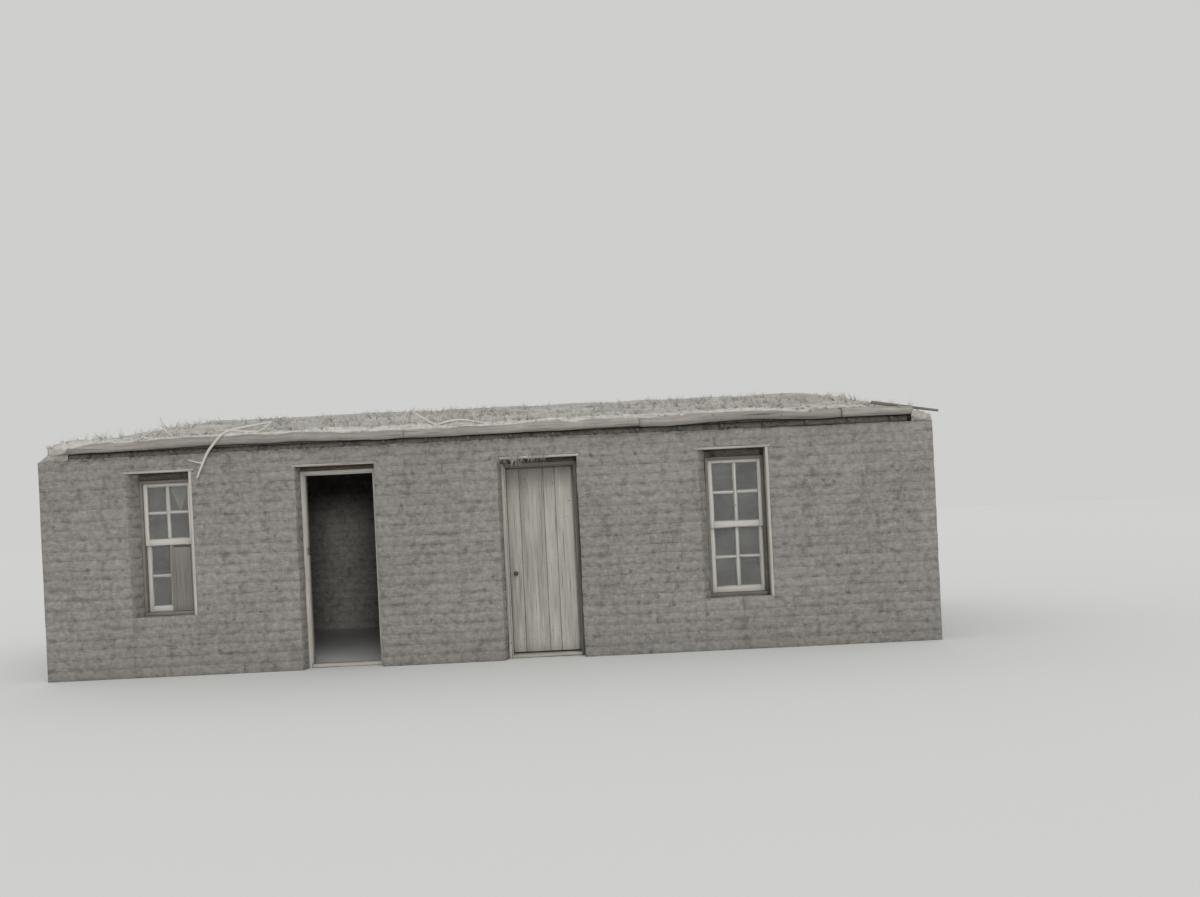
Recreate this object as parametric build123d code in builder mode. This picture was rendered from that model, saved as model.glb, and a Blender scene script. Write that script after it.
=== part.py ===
import os
from collections import namedtuple
from math import hypot

from build123d import *

os.makedirs("parts", exist_ok=True)

# One-room sod house with a low shed roof, its front wall towards -Y.
# The origin is on the ground under the middle of the house, sizes are in millimetres.

# Walls of stacked sod
house_length = 9140
house_depth = 4880
wall_thickness = 610
front_seat_height = 2245
back_seat_height = 2720
top_courses_height = 205
inner_splay = 90
frame_setback = 150
frame_depth = 150

# Windows, placed from the west end of the house and hung down from the top of the front wall
window_jamb = 30
window_sill_thickness = 40
window_outer_splay = 80
window_lining = 30
window_plank_bearing = 120
west_window_place = 1250
west_window_width = 500
west_window_height = 1325
west_window_packing = 76
west_window_plank_depth = 135
west_meeting_rise = 685
east_window_place = 7115
east_window_width = 550
east_window_height = 1370
east_window_packing = 79
east_window_plank_depth = 167
east_meeting_rise = 670

# Sashes
stile_width = 41
top_rail_height = 32
meeting_rail_height = 66
bottom_rail_height = 60
sash_thickness = 34
sash_side_clearance = 0.5
sash_track_gap = 2
outer_bead = 32
glass_thickness = 3

# Doorways, placed in the same way
door_jamb = 45
threshold_height = 40
door_outer_splay = 25
door_plank_bearing = 60
stop_width = 12
west_door_place = 3030
west_door_width = 700
west_door_packing = 46
west_door_plank_depth = 145
east_door_place = 5098
east_door_width = 700
east_door_packing = 44
east_door_plank_depth = 167

# Plank over each opening
plank_thickness = 24
plank_right_bearing = 30
packing_setback = 30
packing_depth = 120

# Door leaf
leaf_thickness = 28
leaf_swing_gap = 10
leaf_hinge_gap = 6
leaf_top_gap = 6
leaf_bottom_gap = 8
leaf_stop_gap = 5
ledge_height = 140
ledge_thickness = 25
ledge_inset = 60
ledge_end_margin = 170

# Strap hinges and latch
pin_radius = 6
pin_inset = 15
eye_wall = 5
eye_height = 60
eye_clearance = 0.3
strap_thickness = 4
strap_height = 34
strap_length = 420
pintle_plate_thickness = 4
pintle_plate_width = 30
pintle_plate_height = 130
pintle_plate_drop = 5
pintle_lug_height = 25
pin_overrun = 10
latch_ledge_gap = 14.5
latch_inset = 62
knob_radius = 24
knob_neck_radius = 9
knob_reach = 54
latch_box_width = 90
latch_box_height = 110
latch_box_thickness = 24
latch_box_edge_gap = 8
keeper_height = 1200
keeper_size = 70
keeper_thickness = 3

# Curtain and board left in the west window
curtain_width = 210
curtain_drop = 300
curtain_side_drop = 60
curtain_thickness = 6
curtain_setback = 25
loose_board_width = 235
loose_board_height = 660
loose_board_thickness = 20
loose_board_side_gap = 6
loose_board_sash_gap = 3

# Roof
plate_width = 250
plate_thickness = 40
plate_inset = 180
pole_count = 20
pole_front_diameter = 70
pole_back_diameter = 90
eave_overhang = 115
back_overhang = 100
brush_thickness = 40
seat = 0.3
pole_setback = 5
roof_cover = 190
back_extra_cover = 50
west_bank_width = 310
west_shoulder_width = 160
west_shoulder_cover = 140
west_corner_cover = 25
east_bank_width = 210
east_slope_width = 610
east_corner_cover = 85

# Eave logs laid end to end along the roof edge
log_radius = 54
log_crook = 20
log_gap = 4
west_log_setback = 25
west_log_length = 3423
east_log_length = 2046
end_log_length = 723
end_log_setback = 5

# Dead limbs lying on the roof edge
limb_radius = 16
limb_length = 1000
limb_place = 1563
bent_limb_radius = 13
bent_limb_length = 720
bent_limb_share = 0.14
knee_log_share = 0.92
twig_radius = 10
twig_height = 222
twig_place = 1375
twig_setback = 30
edge_pole_radius = 19
edge_pole_tip_radius = 13
edge_pole_length = 690
edge_pole_setback = 40

# Planes and levels worked out from the sizes above
face_y = -house_depth / 2
back_y = house_depth / 2
inner_y = face_y + wall_thickness
frame_front_y = face_y + frame_setback
frame_back_y = frame_front_y + frame_depth
west_end_x = -house_length / 2
east_end_x = house_length / 2
pier_height = front_seat_height - top_courses_height
roof_rise = back_seat_height - front_seat_height
roof_run = hypot(house_depth, roof_rise)
roof_cos = house_depth / roof_run
along_roof = Vector(0, house_depth, roof_rise).normalized()


def seat_z(y):
    """Height of the sloping wall tops, on which the roof poles rest."""
    return front_seat_height + roof_rise * (y - face_y) / house_depth


Opening = namedtuple("Opening", "x width bottom top plank_top jamb splay lining bearing")


def window_at(place, width, height, packing, plank_depth):
    """A window whose frame, straw packing and plank hang down from the wall's top."""
    plank_top = front_seat_height - plank_depth
    top = plank_top - plank_thickness - packing - window_jamb
    return Opening(
        west_end_x + place, width, top - height, top, plank_top,
        window_jamb, window_outer_splay, window_lining, window_plank_bearing,
    )


def doorway_at(place, width, packing, plank_depth):
    """A doorway that stands on the ground under its plank."""
    plank_top = front_seat_height - plank_depth
    top = plank_top - plank_thickness - packing - door_jamb
    return Opening(
        west_end_x + place, width, 0, top, plank_top,
        door_jamb, door_outer_splay, 0, door_plank_bearing,
    )


west_window = window_at(
    west_window_place, west_window_width, west_window_height,
    west_window_packing, west_window_plank_depth,
)
west_door = doorway_at(west_door_place, west_door_width, west_door_packing, west_door_plank_depth)
east_door = doorway_at(east_door_place, east_door_width, east_door_packing, east_door_plank_depth)
east_window = window_at(
    east_window_place, east_window_width, east_window_height,
    east_window_packing, east_window_plank_depth,
)
openings = (west_window, west_door, east_door, east_window)


def frame_left(opening):
    return opening.x - opening.width / 2 - opening.jamb


def frame_right(opening):
    return opening.x + opening.width / 2 + opening.jamb


def left_reveal(opening):
    """Plan of the sod at the left side of an opening, from the outer face to the inner one."""
    left = frame_left(opening)
    return [
        (left - opening.splay, face_y),
        (left, frame_front_y),
        (left, frame_back_y),
        (left - inner_splay, inner_y),
    ]


def right_reveal(opening):
    right = frame_right(opening) + opening.lining
    return [
        (right, face_y),
        (right, frame_back_y),
        (right + inner_splay, inner_y),
    ]


def upright(plan, low, high):
    """A solid with the given plan between two heights."""
    with BuildPart() as solid:
        with BuildSketch(Plane.XY.offset(low)):
            with BuildLine():
                Polyline(plan, close=True)
            make_face()
        extrude(amount=high - low)
    return solid.part


def lengthwise(profile, low_x, high_x):
    """A solid with the given (y, z) profile between two places along the house."""
    with BuildPart() as solid:
        with BuildSketch(Plane.YZ.offset(low_x)):
            with BuildLine():
                Polyline(profile, close=True)
            make_face()
        extrude(amount=high_x - low_x)
    return solid.part


def block(low, high):
    """A plain block between two corners."""
    size = [b - a for a, b in zip(low, high)]
    centre = tuple((a + b) / 2 for a, b in zip(low, high))
    with BuildPart() as solid:
        with Locations(centre):
            Box(*size)
    return solid.part


def save(shape, name):
    shape.label = name
    export_step(shape, f"parts/{name}.step")


# Front wall: piers beside the openings, from the west corner to the east corner
west_corner = [(west_end_x, face_y), (west_end_x, inner_y)]
east_corner = [(east_end_x, face_y), (east_end_x, inner_y)]
pier_sides = {
    "front_pier_west_corner": (west_corner, left_reveal(west_window)),
    "front_pier_west": (right_reveal(west_window), left_reveal(west_door)),
    "front_pier_middle": (right_reveal(west_door), left_reveal(east_door)),
    "front_pier_east": (right_reveal(east_door), left_reveal(east_window)),
    "front_pier_east_corner": (right_reveal(east_window), east_corner),
}
for pier_name, (left_side, right_side) in pier_sides.items():
    save(upright(left_side + right_side[::-1], 0, pier_height), pier_name)

# Sods under the windows, between the piers
for side, window in (("west", west_window), ("east", east_window)):
    plan = left_reveal(window) + right_reveal(window)[::-1]
    save(upright(plan, 0, window.bottom - window_sill_thickness), f"sods_below_{side}_window")


def head_plank(opening):
    bottom = opening.plank_top - plank_thickness
    left = frame_left(opening) - opening.bearing
    right = frame_right(opening) + opening.lining + plank_right_bearing
    return block((left, face_y, bottom), (right, inner_y, opening.plank_top))


# Top courses of the front wall, cut away for the planks over the openings and the plate
plate_front_y = face_y + plate_inset
plate_back_y = plate_front_y + plate_width
top_course_profile = [
    (face_y, pier_height),
    (inner_y, pier_height),
    (inner_y, seat_z(inner_y)),
    (plate_back_y, seat_z(plate_back_y)),
    (plate_back_y, seat_z(plate_back_y) - plate_thickness),
    (plate_front_y, seat_z(plate_front_y) - plate_thickness),
    (plate_front_y, seat_z(plate_front_y)),
    (face_y, seat_z(face_y)),
]
with BuildPart() as front_top_courses:
    add(lengthwise(top_course_profile, west_end_x, east_end_x))
    for opening in openings:
        plan = left_reveal(opening) + right_reveal(opening)[::-1]
        add(upright(plan, pier_height, opening.plank_top - plank_thickness), mode=Mode.SUBTRACT)
        add(head_plank(opening), mode=Mode.SUBTRACT)
save(front_top_courses.part, "front_top_courses")

# Planks over the openings
with BuildPart() as head_planks:
    for opening in openings:
        add(head_plank(opening))
save(head_planks.part, "head_planks")

# End walls between the front and back walls, and the back wall, all with sloping tops
back_inner_y = back_y - wall_thickness
end_wall_profile = [
    (inner_y, 0),
    (back_inner_y, 0),
    (back_inner_y, seat_z(back_inner_y)),
    (inner_y, seat_z(inner_y)),
]
save(lengthwise(end_wall_profile, west_end_x, west_end_x + wall_thickness), "west_end_wall")
save(lengthwise(end_wall_profile, east_end_x - wall_thickness, east_end_x), "east_end_wall")
back_plate_front_y = back_y - plate_inset - plate_width
back_plate_back_y = back_y - plate_inset
back_wall_profile = [
    (back_inner_y, 0),
    (back_y, 0),
    (back_y, seat_z(back_y)),
    (back_plate_back_y, seat_z(back_plate_back_y)),
    (back_plate_back_y, seat_z(back_plate_back_y) - plate_thickness),
    (back_plate_front_y, seat_z(back_plate_front_y) - plate_thickness),
    (back_plate_front_y, seat_z(back_plate_front_y)),
    (back_inner_y, seat_z(back_inner_y)),
]
save(lengthwise(back_wall_profile, west_end_x, east_end_x), "back_wall")

# Plank plates bedded in the tops of the front and back walls
with BuildPart() as wall_plates:
    for low_y, high_y in ((plate_front_y, plate_back_y), (back_plate_front_y, back_plate_back_y)):
        plate_profile = [
            (low_y, seat_z(low_y) - plate_thickness),
            (high_y, seat_z(high_y) - plate_thickness),
            (high_y, seat_z(high_y)),
            (low_y, seat_z(low_y)),
        ]
        add(lengthwise(plate_profile, west_end_x, east_end_x))
save(wall_plates.part, "wall_plates")

# Tapered roof poles from the front wall to the back wall, butts to the back
pole_front_y = face_y - eave_overhang + pole_setback
pole_back_y = back_y + back_overhang - pole_setback
west_bank_x = west_end_x + west_bank_width
east_log_end_x = east_end_x - east_bank_width
pole_spacing = (east_log_end_x - west_bank_x) / pole_count


def from_front_to_back(front_value, back_value, y):
    """A value that grows evenly from the front wall's face to the back wall's."""
    return front_value + (back_value - front_value) * (y - face_y) / house_depth


def pole_diameter(y):
    return from_front_to_back(pole_front_diameter, pole_back_diameter, y)


def pole_top_z(y):
    """Height just over the tops of the roof poles."""
    return seat_z(y) + (pole_diameter(y) + 2 * seat) / roof_cos


with BuildPart() as roof_poles:
    for index in range(pole_count):
        pole_x = west_bank_x + pole_spacing * (index + 0.5)
        for end_y in (pole_front_y, pole_back_y):
            pole_radius = pole_diameter(end_y) / 2
            middle_z = seat_z(end_y) + (pole_radius + seat) / roof_cos
            with BuildSketch(Plane((pole_x, end_y, middle_z), x_dir=(1, 0, 0), z_dir=along_roof)):
                Circle(pole_radius)
        loft(ruled=True)
save(roof_poles.part, "roof_poles")


def cover_z(y, front_cover):
    """Height of the roof's surface where it covers the front wall's top by front_cover."""
    return seat_z(y) + from_front_to_back(front_cover, front_cover + back_extra_cover, y)


def ribbon_loft(front_y, far_y, outline):
    """A solid between a front and a back section; outline(y) gives the (x, z) section at y."""
    with BuildPart() as solid:
        for y in (front_y, far_y):
            with BuildSketch(Plane.XZ.offset(-y)):
                with BuildLine():
                    Polyline(outline(y), close=True)
                make_face()
        loft(ruled=True)
    return solid.part


# Brush laid over the poles
roof_back_y = back_y + back_overhang


def brush_outline(y):
    low = pole_top_z(y)
    return [
        (west_bank_x, low),
        (east_log_end_x, low),
        (east_log_end_x, low + brush_thickness),
        (west_bank_x, low + brush_thickness),
    ]


save(ribbon_loft(face_y, roof_back_y, brush_outline), "roof_brush")


# Sods on the brush, sloping down to the east corner
east_slope_x = east_end_x - east_slope_width


def east_slope_z(x, y):
    """Height of the roof's surface on its slope down to the east corner."""
    share = (x - east_slope_x) / (east_end_x - east_slope_x)
    return cover_z(y, roof_cover + (east_corner_cover - roof_cover) * share)


def roof_sod_outline(y):
    low = pole_top_z(y) + brush_thickness
    return [
        (west_bank_x, low),
        (east_log_end_x, low),
        (east_log_end_x, east_slope_z(east_log_end_x, y)),
        (east_slope_x, cover_z(y, roof_cover)),
        (west_bank_x, cover_z(y, roof_cover)),
    ]


save(ribbon_loft(face_y, roof_back_y, roof_sod_outline), "roof_sod")


# Banks of earth on the end walls, closing the roof at its sides
west_shoulder_x = west_end_x + west_shoulder_width


def west_bank_outline(y):
    return [
        (west_end_x, seat_z(y)),
        (west_bank_x, seat_z(y)),
        (west_bank_x, cover_z(y, roof_cover)),
        (west_shoulder_x, cover_z(y, west_shoulder_cover)),
        (west_end_x, cover_z(y, west_corner_cover)),
    ]


def east_bank_outline(y):
    return [
        (east_log_end_x, seat_z(y)),
        (east_end_x, seat_z(y)),
        (east_end_x, east_slope_z(east_end_x, y)),
        (east_log_end_x, east_slope_z(east_log_end_x, y)),
    ]


save(ribbon_loft(face_y, roof_back_y, west_bank_outline), "west_roof_bank")
save(ribbon_loft(face_y, roof_back_y, east_bank_outline), "east_roof_bank")

# Eave logs: lengths of crooked log laid end to end on the pole ends, each a low and a high end.
# A station is a share of the log's length, then of the crook and of the largest radius.
log_y = face_y - eave_overhang + log_radius
west_log_x = west_bank_x + west_log_setback
middle_log_x = west_log_x + west_log_length + log_gap
end_log_x = east_log_end_x - end_log_setback - end_log_length
east_log_x = end_log_x - log_gap - east_log_length
middle_log_length = east_log_x - log_gap - middle_log_x
EaveLog = namedtuple("EaveLog", "x length stations")
eave_logs = {
    "eave_log_west": EaveLog(
        west_log_x, west_log_length,
        (
            (0, 0, 0.85), (0.06, 0, 0.88), (0.16, 0.1, 0.93), (0.39, 1, 1),
            (0.68, 0.7, 1), (0.94, 0, 0.97), (1, 0, 0.96),
        ),
    ),
    "eave_log_middle": EaveLog(
        middle_log_x, middle_log_length,
        (
            (0, 0, 0.89), (bent_limb_share, 0, knee_log_share), (0.34, 0, 0.96),
            (0.67, 0.2, 1), (1, 0.5, 0.93),
        ),
    ),
    "eave_log_east": EaveLog(
        east_log_x, east_log_length,
        ((0, 0, 0.96), (0.2, 0, 1), (0.35, 0.8, 1), (0.6, 1, 0.96), (0.83, 0, 0.9), (1, 0, 0.85)),
    ),
    "eave_log_east_end": EaveLog(
        end_log_x, end_log_length,
        ((0, 0, 0.96), (0.51, 0, 0.89), (1, 0, 0.78)),
    ),
}


def log_axis_z(rise, radius):
    return pole_top_z(log_y) + rise + radius / roof_cos + seat


for log_name, log in eave_logs.items():
    with BuildPart() as eave_log:
        for length_share, crook_share, radius_share in log.stations:
            radius = log_radius * radius_share
            axis_z = log_axis_z(log_crook * crook_share, radius)
            station = (log.x + log.length * length_share, log_y, axis_z)
            with BuildSketch(Plane(station, x_dir=(0, 1, 0), z_dir=(1, 0, 0))):
                Circle(radius)
        loft(ruled=True)
    save(eave_log.part, log_name)


def tapered_limb(points, thickest, radius_shares):
    """A round limb through the points, its radius at each a share of the thickest."""
    with BuildPart() as limb:
        for index, (point, radius_share) in enumerate(zip(points, radius_shares)):
            before = Vector(points[max(index - 1, 0)])
            after = Vector(points[min(index + 1, len(points) - 1)])
            section = Plane(point, x_dir=(0, 1, 0), z_dir=after - before)
            with BuildSketch(section):
                Circle(thickest * radius_share)
        loft(ruled=True)
    return limb.part


# Forked limb that hangs over the eave, its two prongs closing on a loop.
# Its points are shares of its length, measured from where it bears on the face of the eave log.
limb_x = west_log_x + limb_place
limb_y = log_y - log_radius - limb_radius - seat
limb_z = log_axis_z(log_crook, log_radius)


def limb_point(along, back, rise):
    return (limb_x + along * limb_length, limb_y + back * limb_length, limb_z + rise * limb_length)


main_stem = (
    (-0.239, 0, -0.377),
    (-0.184, 0, -0.253),
    (-0.119, 0, -0.119),
    (-0.050, 0, -0.035),
    (0, 0, 0.021),
    (0.027, 0.018, 0.051),
    (0.060, 0.040, 0.077),
    (0.125, 0.055, 0.098),
    (0.283, 0.075, 0.129),
    (0.520, 0.110, 0.163),
)
prong = (
    (0.110, 0.054, 0.092),
    (0.242, 0.066, 0.078),
    (0.358, 0.085, 0.066),
    (0.438, 0.098, 0.100),
    (0.516, 0.110, 0.160),
)
low_twig = ((-0.318, 0, -0.188), (-0.248, 0, -0.213), (-0.173, 0, -0.228))
stub = ((-0.012, 0.048, 0.092), (0.052, 0.050, 0.097), (0.112, 0.053, 0.093))
limb_branches = (
    (main_stem, (0.56, 0.81, 0.94, 1, 1, 1, 0.94, 0.94, 0.75, 0.56)),
    (prong, (0.81, 0.69, 0.62, 0.56, 0.5)),
    (low_twig, (0.31, 0.44, 0.56)),
    (stub, (0.31, 0.44, 0.56)),
)
with BuildPart() as hanging_limb:
    for shares, radius_shares in limb_branches:
        points = [limb_point(*share) for share in shares]
        add(tapered_limb(points, limb_radius, radius_shares))
save(hanging_limb.part, "hanging_limb")

# Bent limb lying on the middle eave log: a straight end and a curved one that meet in a knee.
# Its points are shares of its length, measured from the knee.
straight_end = ((-0.333, 0.222), (-0.167, 0.111), (0, 0))
curved_end = ((-0.014, 0.009), (0.139, 0.053), (0.285, 0.075), (0.486, 0.053), (0.667, 0))
tip_along, tip_rise = straight_end[0]
knee_depth = bent_limb_radius * abs(tip_along) / hypot(tip_along, tip_rise)
knee_log_radius = log_radius * knee_log_share
bent_limb_x = middle_log_x + middle_log_length * bent_limb_share
bent_limb_z = log_axis_z(0, knee_log_radius) + knee_log_radius + knee_depth + 2 * seat
bent_limb_branches = (
    (straight_end, (0.6, 0.85, 1)),
    (curved_end, (0.92, 0.92, 0.85, 0.7, 0.54)),
)
with BuildPart() as bent_limb:
    for shares, radius_shares in bent_limb_branches:
        points = [
            (bent_limb_x + along * bent_limb_length, log_y, bent_limb_z + rise * bent_limb_length)
            for along, rise in shares
        ]
        add(tapered_limb(points, bent_limb_radius, radius_shares))
save(bent_limb.part, "bent_limb")

# Dead twigs standing on the roof edge. Their points are shares of the taller one's height.
twig_x = west_end_x + twig_place
twig_y = face_y + twig_setback
twig_z = cover_z(twig_y + twig_radius, roof_cover) + seat
stem_radius_shares = (1, 1, 0.9, 0.7, 0.4)
side_radius_shares = (0.8, 0.6, 0.3)
twigs = (
    (((0, 0), (0, 0.09), (-0.29, 0.32), (-0.43, 0.7), (-0.52, 1)), stem_radius_shares),
    (((-0.29, 0.29), (-0.14, 0.45), (-0.01, 0.63)), side_radius_shares),
    (((-0.22, 0.23), (0.02, 0.29), (0.29, 0.41)), side_radius_shares),
    (((-1.31, 0), (-1.31, 0.09), (-1.15, 0.23), (-0.86, 0.34), (-0.55, 0.47)), stem_radius_shares),
    (((-1.29, 0.12), (-1.34, 0.29), (-1.36, 0.5)), side_radius_shares),
)
with BuildPart() as dry_twigs:
    for shares, radius_shares in twigs:
        points = [
            (twig_x + along * twig_height, twig_y, twig_z + rise * twig_height)
            for along, rise in shares
        ]
        add(tapered_limb(points, twig_radius, radius_shares))
save(dry_twigs.part, "dry_twigs")

# Slim pole lying down the east slope of the roof edge
edge_pole_y = face_y + edge_pole_setback
slope_low = Vector(east_end_x, edge_pole_y, cover_z(edge_pole_y, east_corner_cover))
slope_high = Vector(east_slope_x, edge_pole_y, cover_z(edge_pole_y, roof_cover))
slope_dir = (slope_low - slope_high).normalized()
pole_lift = Vector(-slope_dir.Z, 0, slope_dir.X) * (edge_pole_radius + seat)
pole_start = slope_high + pole_lift
with BuildPart() as edge_pole:
    with BuildSketch(Plane(pole_start, x_dir=(0, 1, 0), z_dir=slope_dir)):
        Circle(edge_pole_radius)
    with BuildSketch(Plane(pole_start + slope_dir * edge_pole_length, x_dir=(0, 1, 0), z_dir=slope_dir)):
        Circle(edge_pole_tip_radius)
    loft(ruled=True)
save(edge_pole.part, "edge_pole")


# Window frames with their sills, and the boards lining their right reveals
def front_plane(y):
    """Upright plane parallel to the front wall, whose normal points to the front."""
    return Plane((0, y, 0), x_dir=(1, 0, 0), z_dir=(0, -1, 0))


def upright_panel(low, high, y, thickness):
    """A rectangle in the plane of the front wall, from (x, z) to (x, z), grown to the back."""
    return block((low[0], y, low[1]), (high[0], y + thickness, high[1]))


def window_frame(window):
    with BuildPart() as frame:
        low = (frame_left(window), frame_front_y, window.bottom - window_sill_thickness)
        high = (frame_right(window), frame_back_y, window.top + window.jamb)
        add(block(low, high))
        clear_low = (window.x - window.width / 2, frame_front_y, window.bottom)
        clear_high = (window.x + window.width / 2, frame_back_y, window.top)
        add(block(clear_low, clear_high), mode=Mode.SUBTRACT)
    return frame.part


def sash(window, low_z, high_z, low_rail, high_rail, y):
    half = window.width / 2 - sash_side_clearance
    with BuildPart() as one:
        add(upright_panel((window.x - half, low_z), (window.x + half, high_z), y, sash_thickness))
        light_low = (window.x - half + stile_width, low_z + low_rail)
        light_high = (window.x + half - stile_width, high_z - high_rail)
        add(upright_panel(light_low, light_high, y, sash_thickness), mode=Mode.SUBTRACT)
    return one.part


def sash_glass(window, low_z, high_z, low_rail, high_rail, y):
    half = window.width / 2 - sash_side_clearance - stile_width
    glass_y = y + (sash_thickness - glass_thickness) / 2
    return upright_panel(
        (window.x - half, low_z + low_rail), (window.x + half, high_z - high_rail), glass_y, glass_thickness
    )


upper_sash_y = frame_front_y + outer_bead
lower_sash_y = upper_sash_y + sash_thickness + sash_track_gap
sashes = {}
for side, window, meeting_rise in (
    ("west", west_window, west_meeting_rise),
    ("east", east_window, east_meeting_rise),
):
    meeting = window.bottom + meeting_rise
    save(window_frame(window), f"{side}_window_frame")
    sashes[f"{side}_upper_sash"] = (
        window, meeting, window.top, meeting_rail_height, top_rail_height, upper_sash_y,
    )
    sashes[f"{side}_lower_sash"] = (
        window, window.bottom, meeting + meeting_rail_height,
        bottom_rail_height, meeting_rail_height, lower_sash_y,
    )
for sash_name, sash_sizes in sashes.items():
    save(sash(*sash_sizes), sash_name)

with BuildPart() as window_glass:
    for sash_sizes in sashes.values():
        add(sash_glass(*sash_sizes))
save(window_glass.part, "window_glass")

# Boards lining the right reveals of the windows
with BuildPart() as window_linings:
    for window in (west_window, east_window):
        low = (frame_right(window), face_y, window.bottom - window_sill_thickness)
        high = (frame_right(window) + window.lining, frame_back_y, window.plank_top - plank_thickness)
        add(block(low, high))
save(window_linings.part, "window_linings")

# Curtain tacked up behind the right half of the west window's upper sash, drawn to a point
curtain_y = frame_back_y - curtain_setback
curtain_right = west_window.x + west_window.width / 2 - stile_width
with BuildPart() as curtain:
    with BuildSketch(front_plane(curtain_y)):
        with BuildLine():
            Polyline(
                (curtain_right - curtain_width, west_window.top - seat),
                (curtain_right, west_window.top - seat),
                (curtain_right, west_window.top - curtain_side_drop),
                (curtain_right - curtain_width / 2, west_window.top - curtain_drop),
                (curtain_right - curtain_width, west_window.top - curtain_side_drop),
                close=True,
            )
        make_face()
    extrude(amount=curtain_thickness)
save(curtain.part, "west_window_curtain")

# Straw packed between each frame and the plank over it
with BuildPart() as head_packing:
    for opening in openings:
        low = (frame_left(opening), frame_front_y + packing_setback, opening.top + opening.jamb)
        high = (
            frame_right(opening),
            frame_front_y + packing_setback + packing_depth,
            opening.plank_top - plank_thickness,
        )
        add(block(low, high))
save(head_packing.part, "head_packing")

# Board left standing on the west window's sill
board_right = west_window.x + west_window.width / 2 - loose_board_side_gap
board_y = upper_sash_y - loose_board_thickness - loose_board_sash_gap
save(
    upright_panel(
        (board_right - loose_board_width, west_window.bottom),
        (board_right, west_window.bottom + loose_board_height),
        board_y,
        loose_board_thickness,
    ),
    "west_window_board",
)


# Door frames: plank jambs, head and threshold, rebated on the inner edge for the leaf
rebate_y = frame_back_y - leaf_thickness - leaf_stop_gap


def door_frame(doorway):
    with BuildPart() as frame:
        low = (frame_left(doorway), frame_front_y, 0)
        high = (frame_right(doorway), frame_back_y, doorway.top + doorway.jamb)
        add(block(low, high))
        clear_left = doorway.x - doorway.width / 2 - stop_width
        clear_right = doorway.x + doorway.width / 2 + stop_width
        clear_top = doorway.top + stop_width
        rebate_low = (clear_left, rebate_y, threshold_height)
        add(block(rebate_low, (clear_right, frame_back_y, clear_top)), mode=Mode.SUBTRACT)
        clear_low = (doorway.x - doorway.width / 2, frame_front_y, threshold_height)
        clear_high = (doorway.x + doorway.width / 2, frame_back_y, doorway.top)
        add(block(clear_low, clear_high), mode=Mode.SUBTRACT)
    return frame.part


save(door_frame(west_door), "west_door_frame")
save(door_frame(east_door), "east_door_frame")

# East door leaf, hung on its east jamb and opening into the room
rebate_left = east_door.x - east_door.width / 2 - stop_width
rebate_right = east_door.x + east_door.width / 2 + stop_width
leaf_left = rebate_left + leaf_swing_gap
leaf_right = rebate_right - leaf_hinge_gap
leaf_back_y = frame_back_y
leaf_front_y = leaf_back_y - leaf_thickness
leaf_bottom = threshold_height + leaf_bottom_gap
leaf_top = east_door.top + stop_width - leaf_top_gap
save(
    upright_panel((leaf_left, leaf_bottom), (leaf_right, leaf_top), leaf_front_y, leaf_thickness),
    "east_door_leaf",
)

# Three ledges across the back of the leaf
ledge_heights = [
    leaf_bottom + ledge_end_margin,
    (leaf_bottom + leaf_top) / 2,
    leaf_top - ledge_end_margin,
]
with BuildPart() as door_ledges:
    for ledge_z in ledge_heights:
        low = (leaf_left + ledge_inset, leaf_back_y, ledge_z - ledge_height / 2)
        high = (leaf_right - ledge_inset, leaf_back_y + ledge_thickness, ledge_z + ledge_height / 2)
        add(block(low, high))
save(door_ledges.part, "east_door_ledges")

# Strap hinges over the top and bottom ledges, turning on pintles fixed to the jamb
pin_x = rebate_right + pin_inset
eye_bore = pin_radius + eye_clearance
eye_radius = eye_bore + eye_wall
strap_y = leaf_back_y + ledge_thickness
pin_y = strap_y + strap_thickness / 2
hinge_heights = (ledge_heights[0], ledge_heights[2])
with BuildPart() as hinge_straps:
    for hinge_z in hinge_heights:
        low = (pin_x - strap_length, strap_y, hinge_z - strap_height / 2)
        high = (pin_x, strap_y + strap_thickness, hinge_z + strap_height / 2)
        add(block(low, high))
        with Locations((pin_x, pin_y, hinge_z)):
            Cylinder(eye_radius, eye_height)
            Cylinder(eye_bore, eye_height, mode=Mode.SUBTRACT)
save(hinge_straps.part, "east_door_straps")

with BuildPart() as pintles:
    for hinge_z in hinge_heights:
        eye_bottom = hinge_z - eye_height / 2
        plate_top = eye_bottom - pintle_plate_drop
        plate_low = (pin_x - pintle_plate_width / 2, frame_back_y, plate_top - pintle_plate_height)
        plate_high = (pin_x + pintle_plate_width / 2, frame_back_y + pintle_plate_thickness, plate_top)
        add(block(plate_low, plate_high))
        lug_low = (pin_x - eye_radius, frame_back_y, eye_bottom - pintle_lug_height)
        lug_high = (pin_x + eye_radius, pin_y + eye_radius, eye_bottom - eye_clearance)
        add(block(lug_low, lug_high))
        with Locations((pin_x, pin_y, hinge_z)):
            Cylinder(pin_radius, eye_height + 2 * pin_overrun)
save(pintles.part, "east_door_pintles")

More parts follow.
